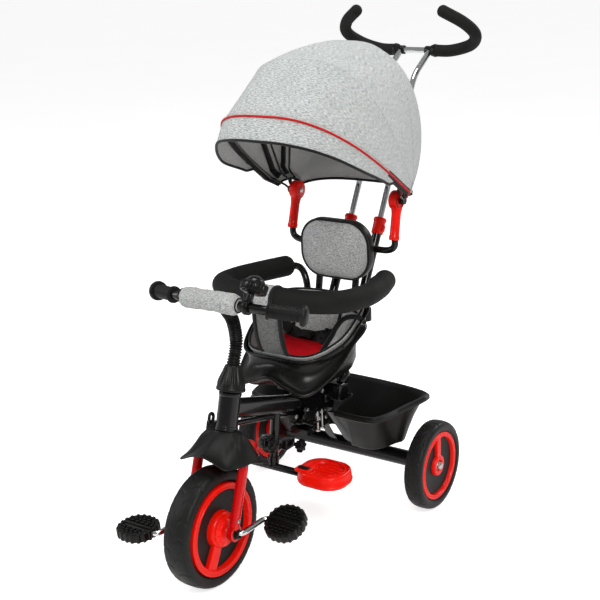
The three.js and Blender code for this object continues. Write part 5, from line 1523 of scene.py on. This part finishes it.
def canopy():
    grid, values = canopy_grid()
    shape, lining = cloth_body(grid, 1.5)
    rows, cols = grid.shape[:2]
    across = np.concatenate([[0], np.cumsum(np.linalg.norm(np.diff(grid[20], axis=0), axis=1))])
    along = np.concatenate([[0], np.cumsum(np.linalg.norm(np.diff(grid[:, cols // 2], axis=0), axis=1))])
    flat = np.stack(np.meshgrid(across, along), -1).reshape(-1, 2) * MM
    cloth_obj = piece("canopy_cloth", shape, GREY_UV, None,
        ("canopy_shell_front", "canopy_shell_mid", "canopy_shell_rear"), 60, uv=np.vstack([flat, flat]))
    cloth_obj.data.materials.append(LINING)
    cloth_obj.data.polygons.foreach_set("material_index", np.array(lining, np.int32))
    fold_weights(cloth_obj)
    front = values.index(1.0)
    normals = grid_normals(grid)
    lift = lambda row, by: grid[row] + normals[row] * by
    pipe = piece("canopy_piping", sweep(lift(front, 1.6), 2.5, 12), RED_CLOTH, "canopy_front")
    hem_obj = piece("canopy_visor_binding", sweep(grid[0], 3.0, 10), BINDING, "canopy_front")
    tail = piece("canopy_rear_binding", sweep(grid[-1], 3.0, 10), BINDING, "frame")
    sides = [sweep(grid[:, j], 2.6, 10) for j in (0, cols - 1)]
    side_obj = piece("canopy_side_binding", merged(*sides), BINDING, None)
    fold_weights(side_obj)
    strips = []
    for a, b in ((0, int(cols * 0.15)), (cols - int(cols * 0.15), cols)):
        strips.append(ribbon_on(grid[front, a:b], normals[front, a:b], 13, 3.0))
    piece("canopy_end_straps", merged(*strips), BINDING, "canopy_front")
    seam = [stitches(lift(values.index(v), 1.0)[6:-6], 5.0, 0.6, 0.5) for v in (2.0, 3.0)]
    seam_obj = piece("canopy_seams", merged(*seam), LIGHT_THREAD, None)
    fold_weights(seam_obj)
    rows_front = piece("canopy_visor_stitches",
        stitches(lift(front, 1.0)[12:-12] + V(0, 3, 6), 4.4, 0.6, 0.45), LIGHT_THREAD, "canopy_front")
    ribs(grid, normals, values)


def ribbon_on(path, normals, width, thick):
    """A tape lying on a surface along a path."""
    rings = []
    t = np.gradient(path, axis=0)
    for p, n, d in zip(path, normals, t):
        across = unit(np.cross(unit(d), n))
        rings.append([p + across * x * width / 2 + n * o * thick / 2 for x,
            o in ((-1, -0.6), (0, -1), (1, -0.6), (1, 0.6), (0, 1), (-1, 0.6))])
    return skin(rings)


def ribs(grid, normals, values):
    """Spring wires under the cloth, each in a black tape sleeve, with an eye at either hinge."""
    specs = (("front", 16, 151, "canopy_front"), ("mid", 24, 144.4, "canopy_mid"),
        ("rear", 20, 148, "frame"))
    for index, (name, inset, foot, body) in enumerate(specs):
        angle, reach, half = WIRES[index]
        shape = hoop_shape(angle, reach, half, inset, 110)
        line = [fold_point(x, r, angle) for x, r in shape]
        start, end = V(foot, PIVOT[1], PIVOT[2]), V(-foot, PIVOT[1], PIVOT[2])
        line[0] = fold_point(foot, 24, angle)
        line[-1] = fold_point(-foot, 24, angle)
        path = np.array([start] + line + [end])
        eyes = [turned([(-1.6, 3), (-1.6, 8), (1.6, 8), (1.6, 3)], p, (1, 0, 0), 32, True) for p in (start,
            end)]
        replaces = "canopy_rib_" + name if name != "rear" else ()
        piece("canopy_rib_" + name + "_wire", merged(sweep(path, 2.5, 14), *eyes), BLACK_PAINT, body,
            replaces, 50)
        row = values.index(index + 1.0)
        width = 14 if name == "mid" else 12
        tape = ribbon_on(grid[row, 2:-2] - normals[row, 2:-2] * 4.2, normals[row, 2:-2], width, 4.2)
        piece("canopy_rib_" + name + "_sleeve", tape, BINDING, body, smooth=0)


# ---------------------------------------------------------------- the scene
def lights():
    def area(name, at, size, power, colour=(1, 1, 1), target=(0, -0.05, 0.5)):
        data = bpy.data.lights.new(name, "AREA")
        data.shape, data.size, data.size_y = "RECTANGLE", size[0], size[1]
        data.energy, data.color = power, colour
        obj = bpy.data.objects.new(name, data)
        obj.location = at
        obj.rotation_euler = (Vector(target) - Vector(at)).to_track_quat("-Z", "Y").to_euler()
        bpy.context.scene.collection.objects.link(obj)

    area("key_softbox", (2.4, -2.2, 2.9), (1.2, 1.2), 84, (1.0, 0.985, 0.96))
    area("fill_softbox", (-2.6, -1.7, 1.9), (1.0, 2.0), 36, (0.97, 0.985, 1.0))
    area("rim_softbox", (0.9, 2.9, 2.3), (1.4, 1.0), 36)
    area("top_softbox", (0.0, -0.1, 3.3), (1.4, 1.4), 34)


def floor():
    mesh = bpy.data.meshes.new("studio_floor")
    mesh.from_pydata([(-30, -30, -0.0006), (30, -30, -0.0006), (30, 30, -0.0006), (-30, 30, -0.0006)], [],
        [(0, 1, 2, 3)])
    s = Shader("studio_floor").set(Roughness=0.9, Specular_IOR_Level=0.1)
    tone = s.mix(s.ramp(s.noise(s.coords(), 1.5, 2), 0.3, 0.7), rgb(0.86, 0.86, 0.86), rgb(0.9, 0.9, 0.9))
    seen = s.add("LightPath").outputs["Is Camera Ray"]
    s.set(Emission_Color=rgb(1, 1, 1)).plug(Base_Color=tone,
        Emission_Strength=s.ramp(seen, 0, 1, 0.2, 0.68))
    mesh.materials.append(s.mat)
    obj = bpy.data.objects.new("studio_floor", mesh)
    bpy.context.scene.collection.objects.link(obj)


def world():
    w = bpy.data.worlds.new("studio")
    bpy.context.scene.world = w
    w.use_nodes = True
    back = w.node_tree.nodes["Background"]
    back.inputs[0].default_value = (1, 1, 1, 1)
    back.inputs[1].default_value = 0.3
    path = w.node_tree.nodes.new("ShaderNodeLightPath")
    bright = w.node_tree.nodes.new("ShaderNodeMix")
    w.node_tree.links.new(path.outputs["Is Camera Ray"], bright.inputs[0])
    bright.inputs[2].default_value = 0.3
    bright.inputs[3].default_value = 1.0
    w.node_tree.links.new(bright.outputs[0], back.inputs[1])


def camera():
    data = bpy.data.cameras.new("camera")
    data.lens, data.sensor_width = LENS, 36
    data.clip_end = 100
    obj = bpy.data.objects.new("camera", data)
    a, p, r = (math.radians(v) for v in CAMERA_TURN)
    level = V(math.cos(a), math.sin(a), 0)
    ahead = V(-math.sin(a) * math.cos(p), math.cos(a) * math.cos(p), -math.sin(p))
    plumb = np.cross(level, ahead)
    right = math.cos(r) * level + math.sin(r) * plumb
    up = -math.sin(r) * level + math.cos(r) * plumb
    obj.matrix_world = Matrix([
        (right[0], up[0], -ahead[0], CAMERA_AT[0]), (right[1], up[1], -ahead[1], CAMERA_AT[1] + REAR_Y),
        (right[2], up[2], -ahead[2], CAMERA_AT[2]), (0, 0, 0, 1)])
    bpy.context.scene.collection.objects.link(obj)
    bpy.context.scene.camera = obj


front_wheel()
rear_wheels()
crank()
pedal(1, "left", 0.45)
pedal(-1, "right", 0.04)
fork()
fender()
head()
handlebar()
bar_pad()
bell()
frame_tubes()
footrests()
tub()
seat()
straps()
head_rest()
guards()
push_handle()
canopy_arm()
canopy()
world()
lights()
floor()
camera()
bpy.context.scene.view_settings.view_transform = "Standard"
